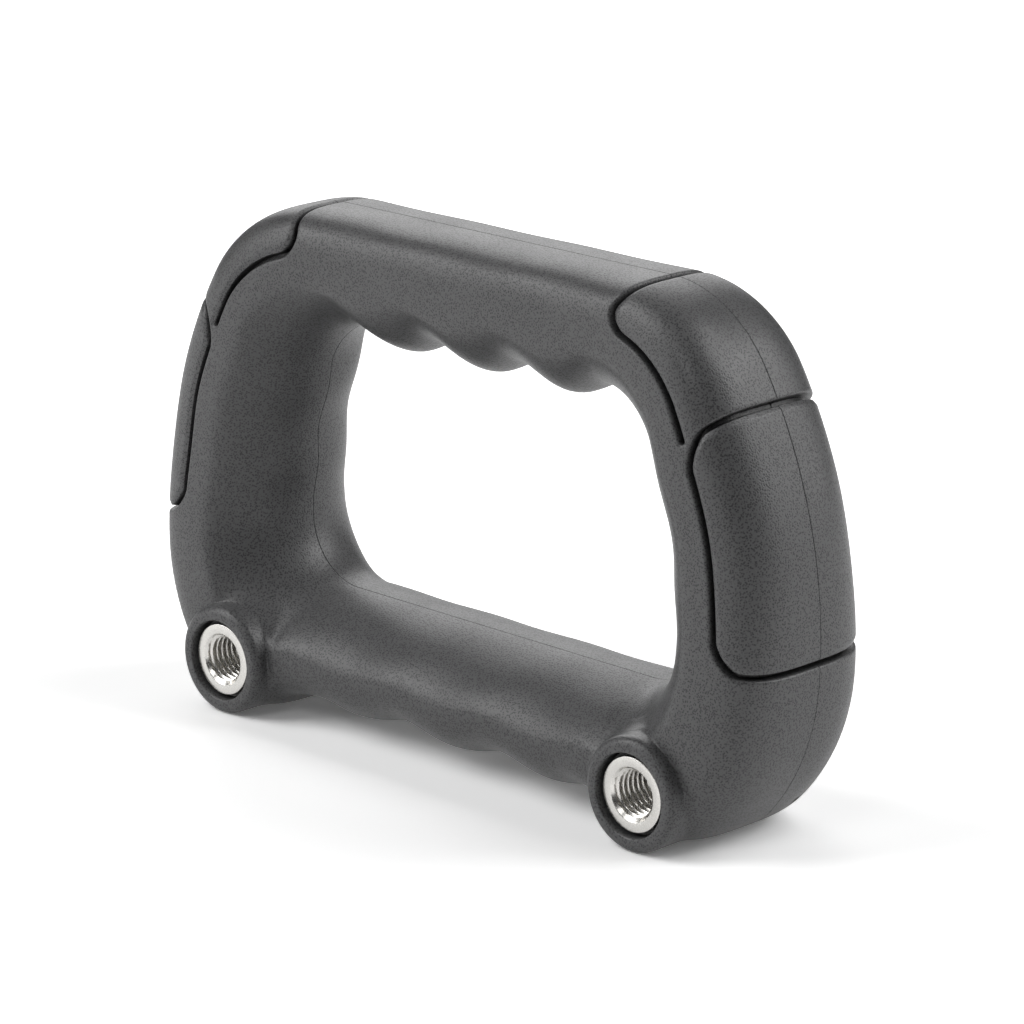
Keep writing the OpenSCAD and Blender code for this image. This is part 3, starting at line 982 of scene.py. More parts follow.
@dataclass
class BossGraft:
    """Sets a boss into the grid of the front skin with a patch that blends into the body.

    Attributes:
        skin: the front shell's skin.
        grid: the skin's grid.
        shape: the boss.
        foot: which foot it stands on.
    """

    skin: ShellSkin
    grid: SkinGrid
    shape: BossShape
    foot: Foot

    # Only cells this near the screw axis and this far out along X make way, in mm
    NEAR, OUT = 30, 20
    # Rings of the patch up to the boss's rim and over it, and how much the first ones spread
    BODY_RINGS, RIM_RINGS, SPREAD = 34, 9, 0.25
    # Degrees from the hole's edge to the first ring, and below the rim over which the blend fades
    GAP, FADE = 4.0, 6
    # Cells round the hole that are looked at to find the body's surface
    MARGIN = 6
    # Rounds of refinement, the largest miss in mm that counts as found, the small steps along
    # station and angle, and the largest steps of station, angle and distance in a round
    ROUNDS, MISS, SMALL, LARGE = 4, 0.02, (1e-4, 1e-3), np.array([0.05, 3, 1])

    @property
    def centre(self) -> np.ndarray:
        """The point on the screw axis at the seam, from which the patch is laid out."""
        return np.array([self.foot.value * self.shape.spacing / 2, self.skin.form.seam, 0.0])

    def _seen(self, points: np.ndarray) -> tuple[np.ndarray, np.ndarray, np.ndarray]:
        """Where points appear from the centre.

        Args:
            points: the points in mm.

        Returns:
            Their directions round the axis, elevations and distances from the axis.
        """
        off = points - self.centre
        theta = np.arctan2(off[..., 2], off[..., 0] * self.foot.value)
        r = np.hypot(off[..., 0], off[..., 2])
        return theta, np.arctan2(-off[..., 1], r), r

    def _ways(self, theta: np.ndarray, alpha: np.ndarray) -> np.ndarray:
        """Unit directions from the centre.

        Args:
            theta: directions round the axis in radians.
            alpha: elevations in radians.

        Returns:
            One vector for each pair of angles.
        """
        side = self.foot.value
        out = [side * np.cos(theta) * np.cos(alpha), -np.sin(alpha), np.sin(theta) * np.cos(alpha)]
        return np.stack(out, axis=-1)

    def hole(self) -> np.ndarray:
        """Which cells of the grid make way for the patch.

        Returns:
            A mask over the cells.
        """
        mid = grid_cells(self.grid.plain).mean(axis=-1)
        theta, alpha, r = self._seen(mid)
        near = (r < self.NEAR) & (mid[..., 0] * self.foot.value > self.OUT)
        return near & (np.degrees(alpha) > self.shape.cut(theta))

    def _rim(self, cells: np.ndarray, index: np.ndarray) -> np.ndarray:
        """The loop of grid points round the hole.

        Args:
            cells: the hole's cells.
            index: indices of the grid's points.

        Returns:
            Indices in order along the loop.
        """
        quads = grid_cells(index)[cells]
        edges = {(int(q[k]), int(q[(k + 1) % 4])) for q in quads for k in range(4)}
        after = {a: b for a, b in edges if (b, a) not in edges}
        first = next(iter(after))
        loop = [first]
        while after[loop[-1]] != first:
            loop.append(after[loop[-1]])
        return np.array(loop)

    def _body(self, ways: np.ndarray, cells: np.ndarray) -> np.ndarray:
        """Distance from the centre to the body's surface in many directions.

        Args:
            ways: unit directions as rows.
            cells: cells near the boss.

        Returns:
            The distances in mm.
        """
        points = self.grid.plain
        index = np.arange(points[..., 0].size).reshape(points.shape[:2])
        used, quads = np.unique(grid_cells(index)[cells], return_inverse=True)
        quads = quads.reshape(-1, 4)
        tris = np.concatenate([quads[:, :3], quads[:, (0, 2, 3)]])
        where = points.reshape(-1, 3)[used]
        known = self.grid.params.reshape(-1, 2)[used]
        tree = BVHTree.FromPolygons(where.tolist(), tris.tolist())
        guess, reach = np.empty((len(ways), 2)), np.empty(len(ways))
        for k, way in enumerate(ways):
            at, _, face, far = tree.ray_cast(Vector(self.centre), Vector(way))
            if at is None:
                raise RuntimeError("a boss patch looks past the body's surface")
            a, b, c = tris[face]
            basis = np.stack([where[b] - where[a], where[c] - where[a]], axis=1)
            uv = np.linalg.lstsq(basis, np.array(at) - where[a], rcond=None)[0]
            guess[k] = known[a] + uv[0] * (known[b] - known[a]) + uv[1] * (known[c] - known[a])
            reach[k] = far
        return self._refined(ways, guess, reach)

    def _refined(self, ways: np.ndarray, guess: np.ndarray, reach: np.ndarray) -> np.ndarray:
        """Brings distances that were read off the grid's facets onto the true surface.

        Args:
            ways: unit directions as rows.
            guess: [station, angle] near each point.
            reach: distances to the facets.

        Returns:
            Distances to the surface in mm.
        """
        form, half = self.skin.form, self.skin.half
        x = np.column_stack([guess, reach])
        best, least = reach.copy(), np.full(len(reach), self.MISS)
        for _ in range(self.ROUNDS):
            here = form.skin(half, x[:, 0], x[:, 1])
            miss = here - self.centre - ways * x[:, 2:]
            size = np.linalg.norm(miss, axis=1)
            better = size < least
            best[better], least[better] = x[better, 2], size[better]
            dq = (form.skin(half, x[:, 0] + self.SMALL[0], x[:, 1]) - here) / self.SMALL[0]
            dphi = (form.skin(half, x[:, 0], x[:, 1] + self.SMALL[1]) - here) / self.SMALL[1]
            slopes = np.stack([dq, dphi, -ways], axis=2) + np.eye(3) * 1e-9
            step = np.linalg.solve(slopes, -miss[..., None])[..., 0]
            x = x + np.clip(step, -self.LARGE, self.LARGE)
            x[:, 1] = np.clip(x[:, 1], 1, 179)
        return best

    def sew(self, work: Patchwork, index: np.ndarray, cells: np.ndarray) -> None:
        """Adds the patch to the front shell's mesh.

        Args:
            work: the mesh so far, with the skin's points already in it.
            index: indices of the grid's points.
            cells: the hole's cells.
        """
        shape, seam = self.shape, self.skin.form.seam
        theta = np.arange(shape.around) * 2 * math.pi / shape.around
        start = np.radians(shape.cut(theta) + self.GAP)
        low, high = shape.rim(seam)
        share = np.linspace(0, 1, self.BODY_RINGS)
        share = share + self.SPREAD * share * (1 - share)
        alpha = np.concatenate([
            start[:, None] + (low - start[:, None]) * share,
            np.tile(np.linspace(low, high, self.RIM_RINGS)[1:], (shape.around, 1)),
        ], axis=1)
        grid_theta = np.repeat(theta[:, None], alpha.shape[1], axis=1)
        ways = self._ways(grid_theta, alpha)
        near = self._widened(cells, self.MARGIN)
        body = self._body(ways.reshape(-1, 3), near).reshape(alpha.shape)
        boss = shape.reach(alpha, seam)
        fade = np.clip((low - alpha) / math.radians(self.FADE), 0, 1)
        soft = shape.blend(grid_theta) * smooth(fade) + 1e-6
        mixed = np.clip(soft - np.abs(body - boss), 0, None) / soft
        reach = np.maximum(body, boss) + mixed * mixed * soft / 4
        reach[:, -self.RIM_RINGS:] = boss[:, -self.RIM_RINGS:]
        outer = self.centre + ways * reach[..., None]
        outer[..., 2] = np.maximum(outer[..., 2], self.skin.form.floor)
        rings = [outer]
        for r, y in shape.inside():
            x = self.centre[0] + self.foot.value * r * np.cos(theta)
            ring = np.stack([x, np.full(len(theta), y), r * np.sin(theta)], axis=-1)
            rings.append(ring[:, None])
        patch = work.add(np.concatenate(rings, axis=1))
        turned = self.foot is Foot.RIGHT
        work.sheet(patch, around=True, flip=turned)
        hub = np.array([self.centre[0], shape.pocket_depth, 0.0])
        work.fan(patch[:, -1], hub, flip=turned)
        self._stitch(work, self._rim(cells, index), patch[:, 0])

    @staticmethod
    def _widened(cells: np.ndarray, by: int) -> np.ndarray:
        """Adds the neighbours of cells.

        Args:
            cells: a mask over the cells.
            by: how many cells away a neighbour may be.

        Returns:
            The wider mask.
        """
        out = cells.copy()
        for _ in range(by):
            out = out | np.roll(out, 1, axis=0) | np.roll(out, -1, axis=0)
            out[:, 1:] |= out[:, :-1].copy()
            out[:, :-1] |= out[:, 1:].copy()
        return out

    def _stitch(self, work: Patchwork, rim: np.ndarray, ring: np.ndarray) -> None:
        """Fills the strip between the grid and the patch with triangles.

        Args:
            work: the mesh so far.
            rim: indices along the grid's rim.
            ring: indices along the patch's outer ring.
        """
        at = np.concatenate(work.points)
        turn = np.unwrap(self._seen(at[rim])[0])
        backward = turn[-1] < turn[0]
        if backward:
            rim = rim[::-1]
        first = self._seen(at[rim[:1]])[0][0] / (2 * math.pi / len(ring))
        ring = np.roll(ring, -(int(round(first)) % len(ring)))
        a, b, tris = 0, 0, []
        n, m = len(rim), len(ring)
        while a < n or b < m:
            p, q = rim[a % n], ring[b % m]
            p2, q2 = rim[(a + 1) % n], ring[(b + 1) % m]
            outward = np.linalg.norm(at[p2] - at[q])
            inward = np.linalg.norm(at[q2] - at[p])
            if b >= m or (a < n and outward < inward):
                tris.append((p, p2, q))
                a += 1
            else:
                tris.append((p, q2, q))
                b += 1
        work.faces(np.array(tris), flip=backward == (self.foot is Foot.LEFT))


@dataclass
class NodeBench:
    """A material's node tree with short calls for the nodes used here.

    Attributes:
        material: the material that is being built.
    """

    material: bpy.types.Material

    @classmethod
    def new(cls, name: str) -> "NodeBench":
        """Starts a material with a Principled shader and its output.

        Args:
            name: the material's name.

        Returns:
            The bench.
        """
        material = bpy.data.materials.new(name)
        material.use_nodes = True
        return cls(material)

    @property
    def shader(self) -> bpy.types.Node:
        """The material's Principled shader."""
        return self.material.node_tree.nodes["Principled BSDF"]

    def node(self, kind: str, **values: object) -> bpy.types.Node:
        """Adds a node.

        Args:
            kind: the node's type.
            values: properties of the node, or values of its inputs with _ for a space.

        Returns:
            The node.
        """
        made = self.material.node_tree.nodes.new(kind)
        for key, value in values.items():
            if hasattr(made, key):
                setattr(made, key, value)
            else:
                made.inputs[key.replace("_", " ")].default_value = value
        return made

    def join(self, out: bpy.types.NodeSocket, into: bpy.types.NodeSocket) -> None:
        """Links two sockets."""
        self.material.node_tree.links.new(out, into)

    def feed(self, value: object, socket: bpy.types.NodeSocket) -> None:
        """Gives a socket a value, or links another socket to it.

        Args:
            value: a value, a socket, or None to leave the socket as it is.
            socket: the socket that takes it.
        """
        if isinstance(value, bpy.types.NodeSocket):
            self.join(value, socket)
        elif value is not None:
            socket.default_value = value

    def finish(self, colour: bpy.types.NodeSocket, rough: bpy.types.NodeSocket) -> None:
        """Gives the shader its colour and its roughness."""
        self.join(colour, self.shader.inputs["Base Color"])
        self.join(rough, self.shader.inputs["Roughness"])

    def emboss(self, height: bpy.types.NodeSocket, strength: float, relief_mm: float) -> None:
        """Raises the shader's surface.

        Args:
            height: heights from 0 to 1.
            strength: how much of the relief is shown.
            relief_mm: what a height of 1 stands for.
        """
        bump = self.node("ShaderNodeBump", Strength=strength, Distance=relief_mm * MM)
        self.join(height, bump.inputs["Height"])
        self.join(bump.outputs["Normal"], self.shader.inputs["Normal"])

    def maths(self, operation: str, a: object, b: object = None) -> bpy.types.NodeSocket:
        """Adds a calculation on numbers or sockets.

        Args:
            operation: the operation of the Math node.
            a: its first value.
            b: its second value, if it has one.

        Returns:
            The result's socket.
        """
        made = self.node("ShaderNodeMath", operation=operation)
        for socket, value in zip(made.inputs, (a, b)):
            self.feed(value, socket)
        return made.outputs[0]

    def weigh(self, value: object, weight: float, rest: object) -> bpy.types.NodeSocket:
        """Adds a value times a weight to the rest."""
        return self.maths("ADD", self.maths("MULTIPLY", value, weight), rest)

    def ramp(
        self,
        value: bpy.types.NodeSocket,
        reach: tuple[float, float],
        start: float = 0.0,
        end: float = 1.0,
    ) -> bpy.types.NodeSocket:
        """Maps a range of a value onto another one, clamped.

        Args:
            value: the socket to map.
            reach: both ends of its range.
            start: result at the first end.
            end: result at the second end.

        Returns:
            The result's socket.
        """
        made = self.node("ShaderNodeMapRange", To_Min=start, To_Max=end)
        made.inputs["From Min"].default_value, made.inputs["From Max"].default_value = reach
        self.join(value, made.inputs["Value"])
        return made.outputs["Result"]

    def blend(self, share: bpy.types.NodeSocket, a: object, b: object) -> bpy.types.NodeSocket:
        """Mixes two colours or colour sockets by a share.

        Args:
            share: the share of the second one.
            a: the first one.
            b: the second one.

        Returns:
            The result's socket.
        """
        made = self.node("ShaderNodeMix", data_type="RGBA")
        self.join(share, made.inputs["Factor"])
        for socket, value in ((made.inputs[6], a), (made.inputs[7], b)):
            self.feed((*value, 1) if isinstance(value, tuple) else value, socket)
        return made.outputs[2]


@dataclass(frozen=True)
class GrainedPlastic:
    """Charcoal plastic with the fine pebbled grain of an etched mould, and shade painted into its
    crevices.

    Attributes:
        colour: colour of the tops of the grain.
        pit_colour: colour in its pits.
        crevice_shade_colour: painted shade deep in grooves and recesses, darker than the grain.
        crevice_shade_mm: width of the crevices that the painted shade fills.
        cell_mm: size of a grain cell.
        relief_mm: height of the grain.
        rough: roughness.
        ior: index of refraction.
    """

    colour: tuple[float, float, float] = (0.124, 0.124, 0.126)
    pit_colour: tuple[float, float, float] = (0.038, 0.038, 0.039)
    crevice_shade_colour: tuple[float, float, float] = (0.006, 0.006, 0.006)
    crevice_shade_mm: float = 1.6
    cell_mm: float = 0.40
    relief_mm: float = 0.055
    rough: float = 0.38
    ior: float = 1.48

    # Distance from a cell's centre, in cells, over which its pit rises to the top
    PIT = (0.18, 0.6)
    # Scale of the fine noise for cells of 1 mm, and of the wide patches of uneven gloss
    FINE_SCALE, PATCH_SCALE = 2200, 90.0
    # Weights of pits and fine noise in the grain's height, and the heights that take the colour
    PITS, FINE, COLOURED = 0.7, 0.3, (0.2, 0.75)
    # Share of open sky over which the painted crevice shade gives way to the grain
    SHADE_OPEN = (0.3, 0.75)
    # Roughness: part of the patches' noise that counts, what it takes and adds, and what tops add
    CONTRAST, SMOOTHER, ROUGHER, TOPS = (0.3, 0.7), 0.03, 0.04, -0.05
    # How much of the relief is shown
    SHOWN = 0.55

    def make(self, name: str) -> bpy.types.Material:
        """Builds the material.

        Args:
            name: its name.

        Returns:
            The material.
        """
        bench = NodeBench.new(name)
        place = bench.node("ShaderNodeTexCoord").outputs["Object"]
        pebbles = bench.node("ShaderNodeTexVoronoi", feature="F1", Scale=1000 / self.cell_mm)
        scale = self.FINE_SCALE / self.cell_mm
        fine = bench.node("ShaderNodeTexNoise", Scale=scale, Detail=2.0, Roughness=0.6)
        patches = bench.node("ShaderNodeTexNoise", Scale=self.PATCH_SCALE, Detail=3.0)
        for made in (pebbles, fine, patches):
            bench.join(place, made.inputs["Vector"])
        top = bench.ramp(pebbles.outputs["Distance"], self.PIT)
        noise = bench.maths("MULTIPLY", fine.outputs["Fac"], self.FINE)
        height = bench.weigh(top, self.PITS, noise)
        share = bench.ramp(height, self.COLOURED)
        # Painted shade: an ambient occlusion node darkens the colour in grooves and recesses
        sky = bench.node("ShaderNodeAmbientOcclusion", samples=4, Distance=self.crevice_shade_mm * MM)
        grain = bench.blend(share, self.pit_colour, self.colour)
        colour = bench.blend(bench.ramp(sky.outputs["AO"], self.SHADE_OPEN), self.crevice_shade_colour, grain)
        smoothest, roughest = self.rough - self.SMOOTHER, self.rough + self.ROUGHER
        uneven = bench.ramp(patches.outputs["Fac"], self.CONTRAST, smoothest, roughest)
        bench.finish(colour, bench.weigh(share, self.TOPS, uneven))
        bench.emboss(height, self.SHOWN, self.relief_mm)
        bench.shader.inputs["IOR"].default_value = self.ior
        return bench.material


@dataclass(frozen=True)
class TurnedNickel:
    """Bright nickel plating over turned metal, with fine rings round the screw axis.

    Attributes:
        axis_x: place of the screw axis along X in metres.
        colour: colour of the metal.
        rough: roughness.
        relief_mm: height of the rings.
    """

    axis_x: float
    colour: tuple[float, float, float] = (0.97, 0.95, 0.91)
    rough: float = 0.25
    relief_mm: float = 0.008

    # Rings and specks to the metre
    RINGS, SPECKS = 9000.0, 5200.0
    # How dark a speck is and how high beside a ring, and how much of the relief is shown
    DARKER, SPECK_HEIGHT, SHOWN = 0.93, 0.5, 0.25
    # Roughness: part of the specks' noise that counts, and what it takes and adds
    CONTRAST, SMOOTHER, ROUGHER = (0.3, 0.7), 0.04, 0.06

    def make(self, name: str) -> bpy.types.Material:
        """Builds the material.

        Args:
            name: its name.

        Returns:
            The material.
        """
        bench = NodeBench.new(name)
        place = bench.node("ShaderNodeTexCoord").outputs["Object"]
        split = bench.node("ShaderNodeSeparateXYZ")
        bench.join(place, split.inputs[0])
        off = bench.maths("SUBTRACT", split.outputs["X"], self.axis_x)
        up = bench.maths("POWER", split.outputs["Z"], 2.0)
        square = bench.maths("ADD", bench.maths("MULTIPLY", off, off), up)
        radius = bench.maths("MULTIPLY", bench.maths("SQRT", square), self.RINGS)
        rings = bench.node("ShaderNodeTexNoise", noise_dimensions="1D", Scale=1.0, Detail=3.0)
        bench.join(radius, rings.inputs["W"])
        speck_noise = bench.node("ShaderNodeTexNoise", Scale=self.SPECKS, Detail=2.0)
        bench.join(place, speck_noise.inputs["Vector"])
        specks = speck_noise.outputs["Fac"]
        darker = tuple(self.DARKER * c for c in self.colour)
        smoothest, roughest = self.rough - self.SMOOTHER, self.rough + self.ROUGHER
        uneven = bench.ramp(specks, self.CONTRAST, smoothest, roughest)
        bench.finish(bench.blend(specks, darker, self.colour), uneven)
        height = bench.weigh(specks, self.SPECK_HEIGHT, rings.outputs["Fac"])
        bench.emboss(height, self.SHOWN, self.relief_mm)
        bench.shader.inputs["Metallic"].default_value = 1.0
        return bench.material


@dataclass(frozen=True)
class StudioWhite:
    """White sweep that takes the object's shadow and is pure white where nothing shades it.

    Attributes:
        colour: the paper's colour in the light that it throws back.
        seen_colour: its colour where it is looked at.
        lift: white that is added where it is looked at, near the handle.
        far: distances from the handle in metres over which that white rises to full.
        mirror_lift: white that is added where it is seen in a reflection.
    """

    colour: float = 0.9
    seen_colour: float = 1.6
    lift: float = 0.08
    far: tuple[float, float] = (0.35, 0.9)
    mirror_lift: float = 0.2

    def make(self, name: str) -> bpy.types.Material:
        """Builds the material.

        Args:
            name: its name.

        Returns:
            The material.
        """
        bench = NodeBench.new(name)
        nodes = bench.material.node_tree.nodes
        nodes.remove(bench.shader)
        paper = bench.node("ShaderNodeBsdfDiffuse")
        glow = bench.node("ShaderNodeEmission", Color=(1, 1, 1, 1))
        seen = bench.node("ShaderNodeLightPath").outputs
        mirrored = bench.maths("MAXIMUM", seen["Is Glossy Ray"], seen["Is Transmission Ray"])
        looked_at = seen["Is Camera Ray"]
        colour = bench.ramp(looked_at, (0.0, 1.0), self.colour, self.seen_colour)
        bench.join(colour, paper.inputs["Color"])
        way = bench.node("ShaderNodeVectorMath", operation="LENGTH")
        bench.join(bench.node("ShaderNodeNewGeometry").outputs["Position"], way.inputs[0])
        lift = bench.ramp(way.outputs["Value"], self.far, self.lift)
        shown = bench.maths("MULTIPLY", looked_at, lift)
        bench.join(bench.weigh(mirrored, self.mirror_lift, shown), glow.inputs["Strength"])
        both = bench.node("ShaderNodeAddShader")
        bench.join(paper.outputs[0], both.inputs[0])
        bench.join(glow.outputs[0], both.inputs[1])
        bench.join(both.outputs[0], nodes["Material Output"].inputs["Surface"])
        return bench.material


def report(piece: bpy.types.Object) -> None:
    """Logs a piece's name, faces and size.

    Args:
        piece: the piece.
    """
    size = ", ".join(f"{v * 1000:.1f}" for v in piece.dimensions)
    LOG.info("%s: %d faces, %s mm", piece.name, len(piece.data.polygons), size)


def dress(piece: bpy.types.Object, material: bpy.types.Material, node: str) -> None:
    """Gives a piece its material, sets it on the handle and hides the solid that it stands for.

    Args:
        piece: the piece.
        material: its material.
        node: the solid that it replaces.
    """
    piece.data.materials.append(material)
    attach(piece, "root")
    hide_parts(node)
    report(piece)


@dataclass
class HalfShell:
    """One moulded half shell.

    Attributes:
        skin: its skin.
        plastic: its material.
        boss: shape of the screw bosses moulded into it, if it has any.
    """

    skin: ShellSkin
    plastic: bpy.types.Material
    boss: BossShape | None = None

    @property
    def name(self) -> str:
        """Name of the solid that the shell stands for."""
        return "front_shell" if self.skin.half is Half.FRONT else "rear_shell"

    def build(self) -> bpy.types.Object:
        """Builds the shell's mesh.

        Returns:
            The object.
        """
        grid = self.skin.grid()
        work = Patchwork()
        index = work.add(grid.final)
        plain = np.ones(index[:, 1:].shape, dtype=bool)
        for foot in Foot if self.boss else ():
            graft = BossGraft(self.skin, grid, self.boss, foot)
            cells = graft.hole()
            graft.sew(work, index, cells)
            plain &= ~cells
        rear = self.skin.half is Half.REAR
        work.faces(grid_cells(index)[plain], flip=rear)
        work.sheet(index[:, (-1, 0)], around=True, flip=rear)
        return work.shaped(f"{self.name}_skin")

    def make(self) -> None:
        """Builds and dresses the shell."""
        dress(self.build(), self.plastic, self.name)


@dataclass
class RearShell(HalfShell):
    """The rear half shell, with the drain hole under its right foot.

    Attributes:
        drain_r: radius of the drain hole in mm.
        drain_station: its place along the foot.
        drain_angle: its place round the section in degrees.
        drain_reach: how far the drill goes below and above its mouth, in mm.
        drain_sides: sides of the drill.
    """

    drain_r: float = 0.75
    drain_station: float = 3.49
    drain_angle: float = 14.0
    drain_reach: tuple[float, float] = (3.0, 4.0)
    drain_sides: int = 24

    def build(self) -> bpy.types.Object:
        """Builds the shell's mesh and drills the drain hole.

        Returns:
            The object.
        """
        shell = super().build()
        place = np.array([self.drain_station]), np.array([self.drain_angle])
        mouth = self.skin.form.skin(Half.REAR, *place)[0]
        low, high = mouth - [0, 0, self.drain_reach[0]], mouth + [0, 0, self.drain_reach[1]]
        turn = np.arange(self.drain_sides) * 2 * math.pi / self.drain_sides
        ring = self.drain_r * np.stack([np.cos(turn), np.sin(turn), np.zeros(len(turn))], axis=1)
        work = Patchwork()
        index = work.add(np.stack([low + ring, high + ring], axis=1))
        work.sheet(index, around=True, flip=True)
        work.fan(index[:, 0], low)
        work.fan(index[:, 1], high, flip=True)
        drill = work.shaped("drain_drill")
        cut = shell.modifiers.new("drain", "BOOLEAN")
        cut.object, cut.operation, cut.solver = drill, "DIFFERENCE", "MANIFOLD"
        seen = shell.evaluated_get(bpy.context.evaluated_depsgraph_get())
        mesh = bpy.data.meshes.new_from_object(seen)
        plain, shell.data = shell.data, mesh
        shell.modifiers.clear()
        bpy.data.objects.remove(drill)
        bpy.data.meshes.remove(plain)
        mesh.materials.clear()
        mesh.set_sharp_from_angle(angle=math.radians(SHARP))
        return shell


@dataclass
class FrontShell(HalfShell):
    """The front half shell, with both screw bosses moulded in."""

    boss: BossShape = BossShape()


@dataclass
class ThreadedInsert:
    """A blind insert with a cut thread, seated in a boss.

    Lengths are in mm. The face lies behind the boss face; the other depths start at the face.
    """

    foot: Foot
    spacing: float
    radius: float = 7.0
    face: float = 1.0
    length: float = 17.0
    mouth_r: float = 5.2
    minor_r: float = 4.25
    major_r: float = 5.0
    pitch: float = 1.25
    thread_end: float = 13.4
    drill_end: float = 14.0
    neck_r: float = 6.2
    neck_w: float = 3.0
    chamfer: float = 0.18
    around: int = 96

    # Steps of the thread's grid to a turn, and shares of half a pitch of its crest and its flank
    THREAD_STEPS, CREST, FLANK = 18, 0.22, 0.62
    # Width and depth of the rounding at the mouth, and depth at which the thread's grid starts
    MOUTH_W, MOUTH_D, START = 0.12, 0.05, 0.06
    # Height of the drill's tip as a share of the bore's radius
    TIP = 0.6
    # Angle in degrees from which an edge stays sharp
    SHARP_METAL = 40.0

    @property
    def name(self) -> str:
        """Name of the solid that the insert stands for."""
        return f"{self.foot.name.lower()}_insert"

    @property
    def axis(self) -> float:
        """Place of the screw axis along X in mm."""
        return self.foot.value * self.spacing / 2

    def _thread(self) -> np.ndarray:
        """The bore's wall from the mouth to the end of the thread.

        Returns:
            A grid of (radius, depth).
        """
        end = self.face + self.thread_end
        depth = np.arange(self.face + self.START, end, self.pitch / self.THREAD_STEPS)
        turn = np.arange(self.around) / self.around
        phase = (depth[None] / self.pitch - turn[:, None]) % 1
        cut = np.clip((np.abs(phase - 0.5) * 2 - self.CREST) / self.FLANK, 0, 1)
        fade_out = np.clip((end - depth) / self.pitch, 0, 1)
        radius = self.minor_r + (self.major_r - self.minor_r) * cut * fade_out[None]
        radius = np.maximum(radius, self.mouth_r - (depth - self.face)[None])
        return np.stack([radius, np.repeat(depth[None], self.around, axis=0)], axis=-1)

    def build(self) -> bpy.types.Object:
        """Builds the insert's mesh.

        Returns:
            The object.
        """
        end, c = self.face + self.length, self.chamfer
        neck = self.face + (self.length - self.neck_w) / 2
        outside = [
            (self.radius * 0.5, end), (self.radius - c, end), (self.radius, end - c),
            (self.radius, neck + self.neck_w), (self.neck_r, neck + self.neck_w),
            (self.neck_r, neck), (self.radius, neck), (self.radius, self.face + c),
            (self.radius - c * 0.3, self.face + c * 0.3), (self.radius - c, self.face),
            ((self.radius + self.mouth_r) / 2, self.face), (self.mouth_r + self.MOUTH_W, self.face),
            (self.mouth_r, self.face + self.MOUTH_D),
        ]
        drilled = self.face + self.drill_end
        tip = self.minor_r * self.TIP
        bottom = [(self.minor_r, drilled), (self.minor_r / 2, drilled + tip / 2)]
        ring, inside = (np.repeat(np.array(part)[None], self.around, axis=0)
                        for part in (outside, bottom))
        profile = np.concatenate([ring, self._thread(), inside], axis=1)
        turn = np.arange(self.around) * 2 * math.pi / self.around
        x = self.axis + profile[..., 0] * np.cos(turn)[:, None]
        z = profile[..., 0] * np.sin(turn)[:, None]
        work = Patchwork()
        index = work.add(np.stack([x, profile[..., 1], z], axis=-1))
        work.sheet(index, around=True)
        work.fan(index[:, 0], np.array([self.axis, end, 0.0]), flip=True)
        work.fan(index[:, -1], np.array([self.axis, drilled + tip, 0.0]))
        return work.shaped(f"{self.name}_metal", sharp=self.SHARP_METAL)

    def make(self) -> None:
        """Builds and dresses the insert."""
        nickel = TurnedNickel(self.axis * MM).make(f"{self.name}_nickel")
        dress(self.build(), nickel, self.name)


@dataclass(frozen=True)
class Softbox:
    """An area lamp aimed at the handle.

    Attributes:
        name: the lamp's name.
        place: where it stands, in metres.
        size: length of its sides in metres.
        power: its power in watts.
    """

    name: str
    place: tuple[float, float, float]
    size: float
    power: float

    # The point of the handle that it faces, in metres
    AIM = Vector((0.0, 0.02, 0.03))

    def hang(self) -> None:
        """Adds the lamp to the scene."""
        data = bpy.data.lights.new(self.name, "AREA")
        data.shape, data.size, data.energy = "SQUARE", self.size, self.power
        lamp = bpy.data.objects.new(self.name, data)
        lamp.location = self.place
        lamp.rotation_euler = (Vector(self.place) - self.AIM).to_track_quat("Z", "Y").to_euler()
        lamp.visible_camera = False
        bpy.context.scene.collection.objects.link(lamp)


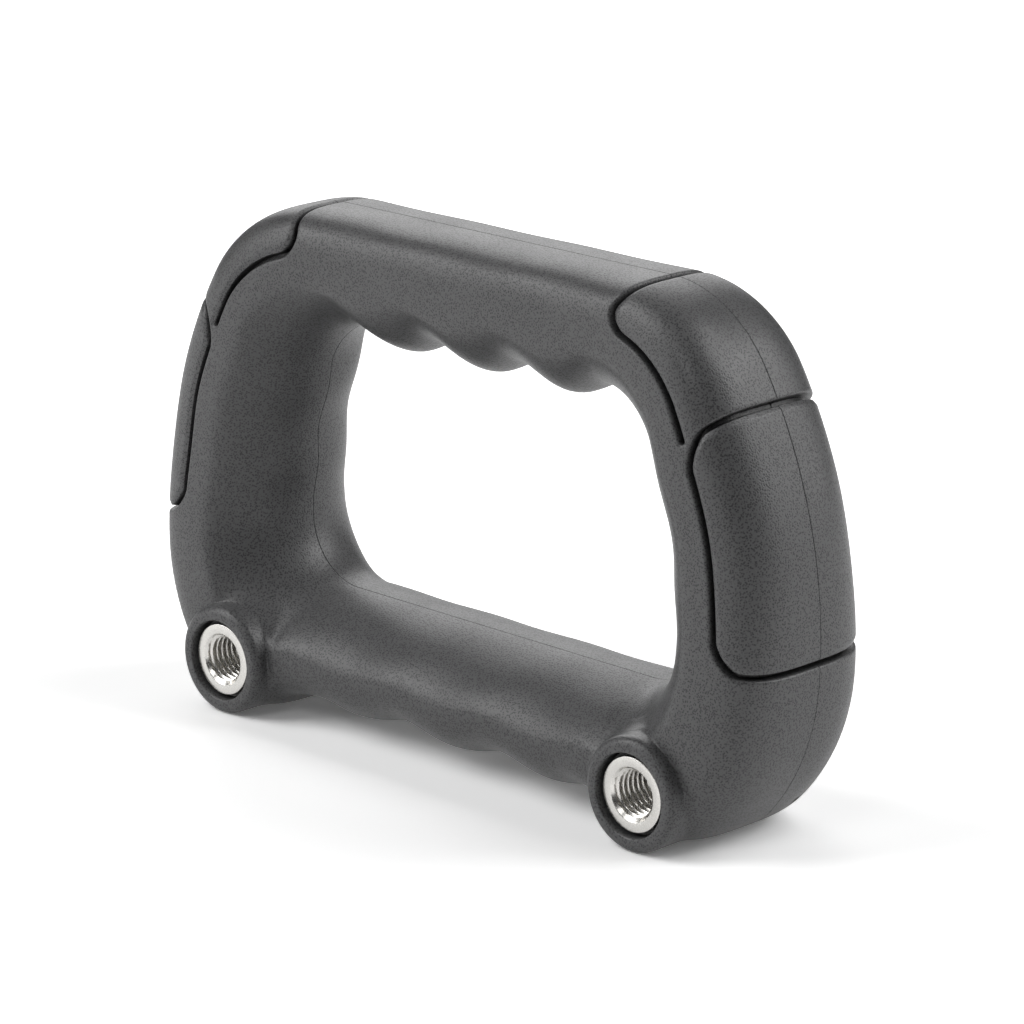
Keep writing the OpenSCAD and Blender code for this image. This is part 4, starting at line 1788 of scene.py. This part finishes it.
@dataclass
class Studio:
    """The white floor, the lamps and the camera.

    Attributes:
        floor_mm: height of the floor.
        eye: the camera's place in mm.
        back: direction from the handle back to the camera.
        lens: focal length in mm.
        sensor: width of the sensor in mm.
        clip: nearest and farthest distance seen, in metres.
        room: strength of the room's even light.
        floor_span: length from the middle of the floor to its sides, in mm.
        lamps: the lamps.
    """

    floor_mm: float
    eye: tuple[float, float, float] = (557.14, -540.5, 270.97)
    back: tuple[float, float, float] = (0.6724, -0.6835, 0.2840)
    lens: float = 156.34
    sensor: float = 36.0
    clip: tuple[float, float] = (0.05, 20.0)
    room: float = 0.03
    floor_span: float = 4000.0
    lamps: tuple[Softbox, ...] = (
        Softbox("left_low_softbox", (-0.852, -0.832, 0.517), 0.8, 4.4),
        Softbox("left_high_softbox", (-0.615, -0.595, 0.996), 0.8, 5.4),
        Softbox("right_low_softbox", (0.852, 0.872, 0.517), 0.8, 4.5),
        Softbox("right_high_softbox", (0.615, 0.635, 0.996), 0.8, 6.0),
        Softbox("front_high_softbox", (0.224, -0.950, 0.866), 0.4, 1.2),
        Softbox("rear_low_softbox", (-0.852, 0.872, 0.517), 0.8, 3.3),
        Softbox("rear_high_softbox", (-0.615, 0.635, 0.996), 0.8, 1.4),
    )

    def lay_floor(self) -> None:
        """Lays the floor."""
        ends = (-self.floor_span, self.floor_span)
        work = Patchwork()
        index = work.add(np.array([[[x, y, self.floor_mm] for y in ends] for x in ends]))
        work.sheet(index, flip=True)
        floor = work.shaped("studio_floor")
        floor.data.materials.append(StudioWhite().make("studio_white"))

    def light(self) -> None:
        """Hangs the lamps and sets the room's light."""
        for lamp in self.lamps:
            lamp.hang()
        world = bpy.data.worlds.new("room")
        bpy.context.scene.world = world
        world.use_nodes = True
        tree = world.node_tree
        glow = tree.nodes["Background"]
        glow.inputs["Color"].default_value = (1, 1, 1, 1)
        seen = tree.nodes.new("ShaderNodeLightPath")
        pick = tree.nodes.new("ShaderNodeMapRange")
        pick.inputs["To Min"].default_value = self.room
        pick.inputs["To Max"].default_value = 1.0
        tree.links.new(seen.outputs["Is Camera Ray"], pick.inputs["Value"])
        tree.links.new(pick.outputs["Result"], glow.inputs["Strength"])

    def aim(self) -> None:
        """Sets up the camera."""
        data = bpy.data.cameras.new("camera")
        data.lens, data.sensor_width = self.lens, self.sensor
        data.clip_start, data.clip_end = self.clip
        camera = bpy.data.objects.new("camera", data)
        back = Vector(self.back).normalized()
        right = Vector((0, 0, 1)).cross(back).normalized()
        turned = Matrix((right, back.cross(right), back)).transposed().to_4x4()
        camera.matrix_world = Matrix.Translation(Vector(self.eye) * MM) @ turned
        bpy.context.scene.collection.objects.link(camera)
        bpy.context.scene.camera = camera

    def set_up(self) -> None:
        """Lays the floor, lights the scene and aims the camera."""
        self.lay_floor()
        self.light()
        self.aim()
        bpy.context.scene.view_settings.view_transform = "Standard"


def main() -> None:
    """Builds and dresses the handle, sets it on its floor and lights it."""
    form = LoopForm()
    grooves = PanelGrooves(form)
    plastic = GrainedPlastic().make("charcoal_plastic")
    boss = BossShape()
    FrontShell(ShellSkin(form, grooves, Half.FRONT), plastic, boss).make()
    RearShell(ShellSkin(form, grooves, Half.REAR), plastic).make()
    for foot in Foot:
        ThreadedInsert(foot, boss.spacing).make()
    Studio(form.floor).set_up()


if __name__ == "__main__":
    main()
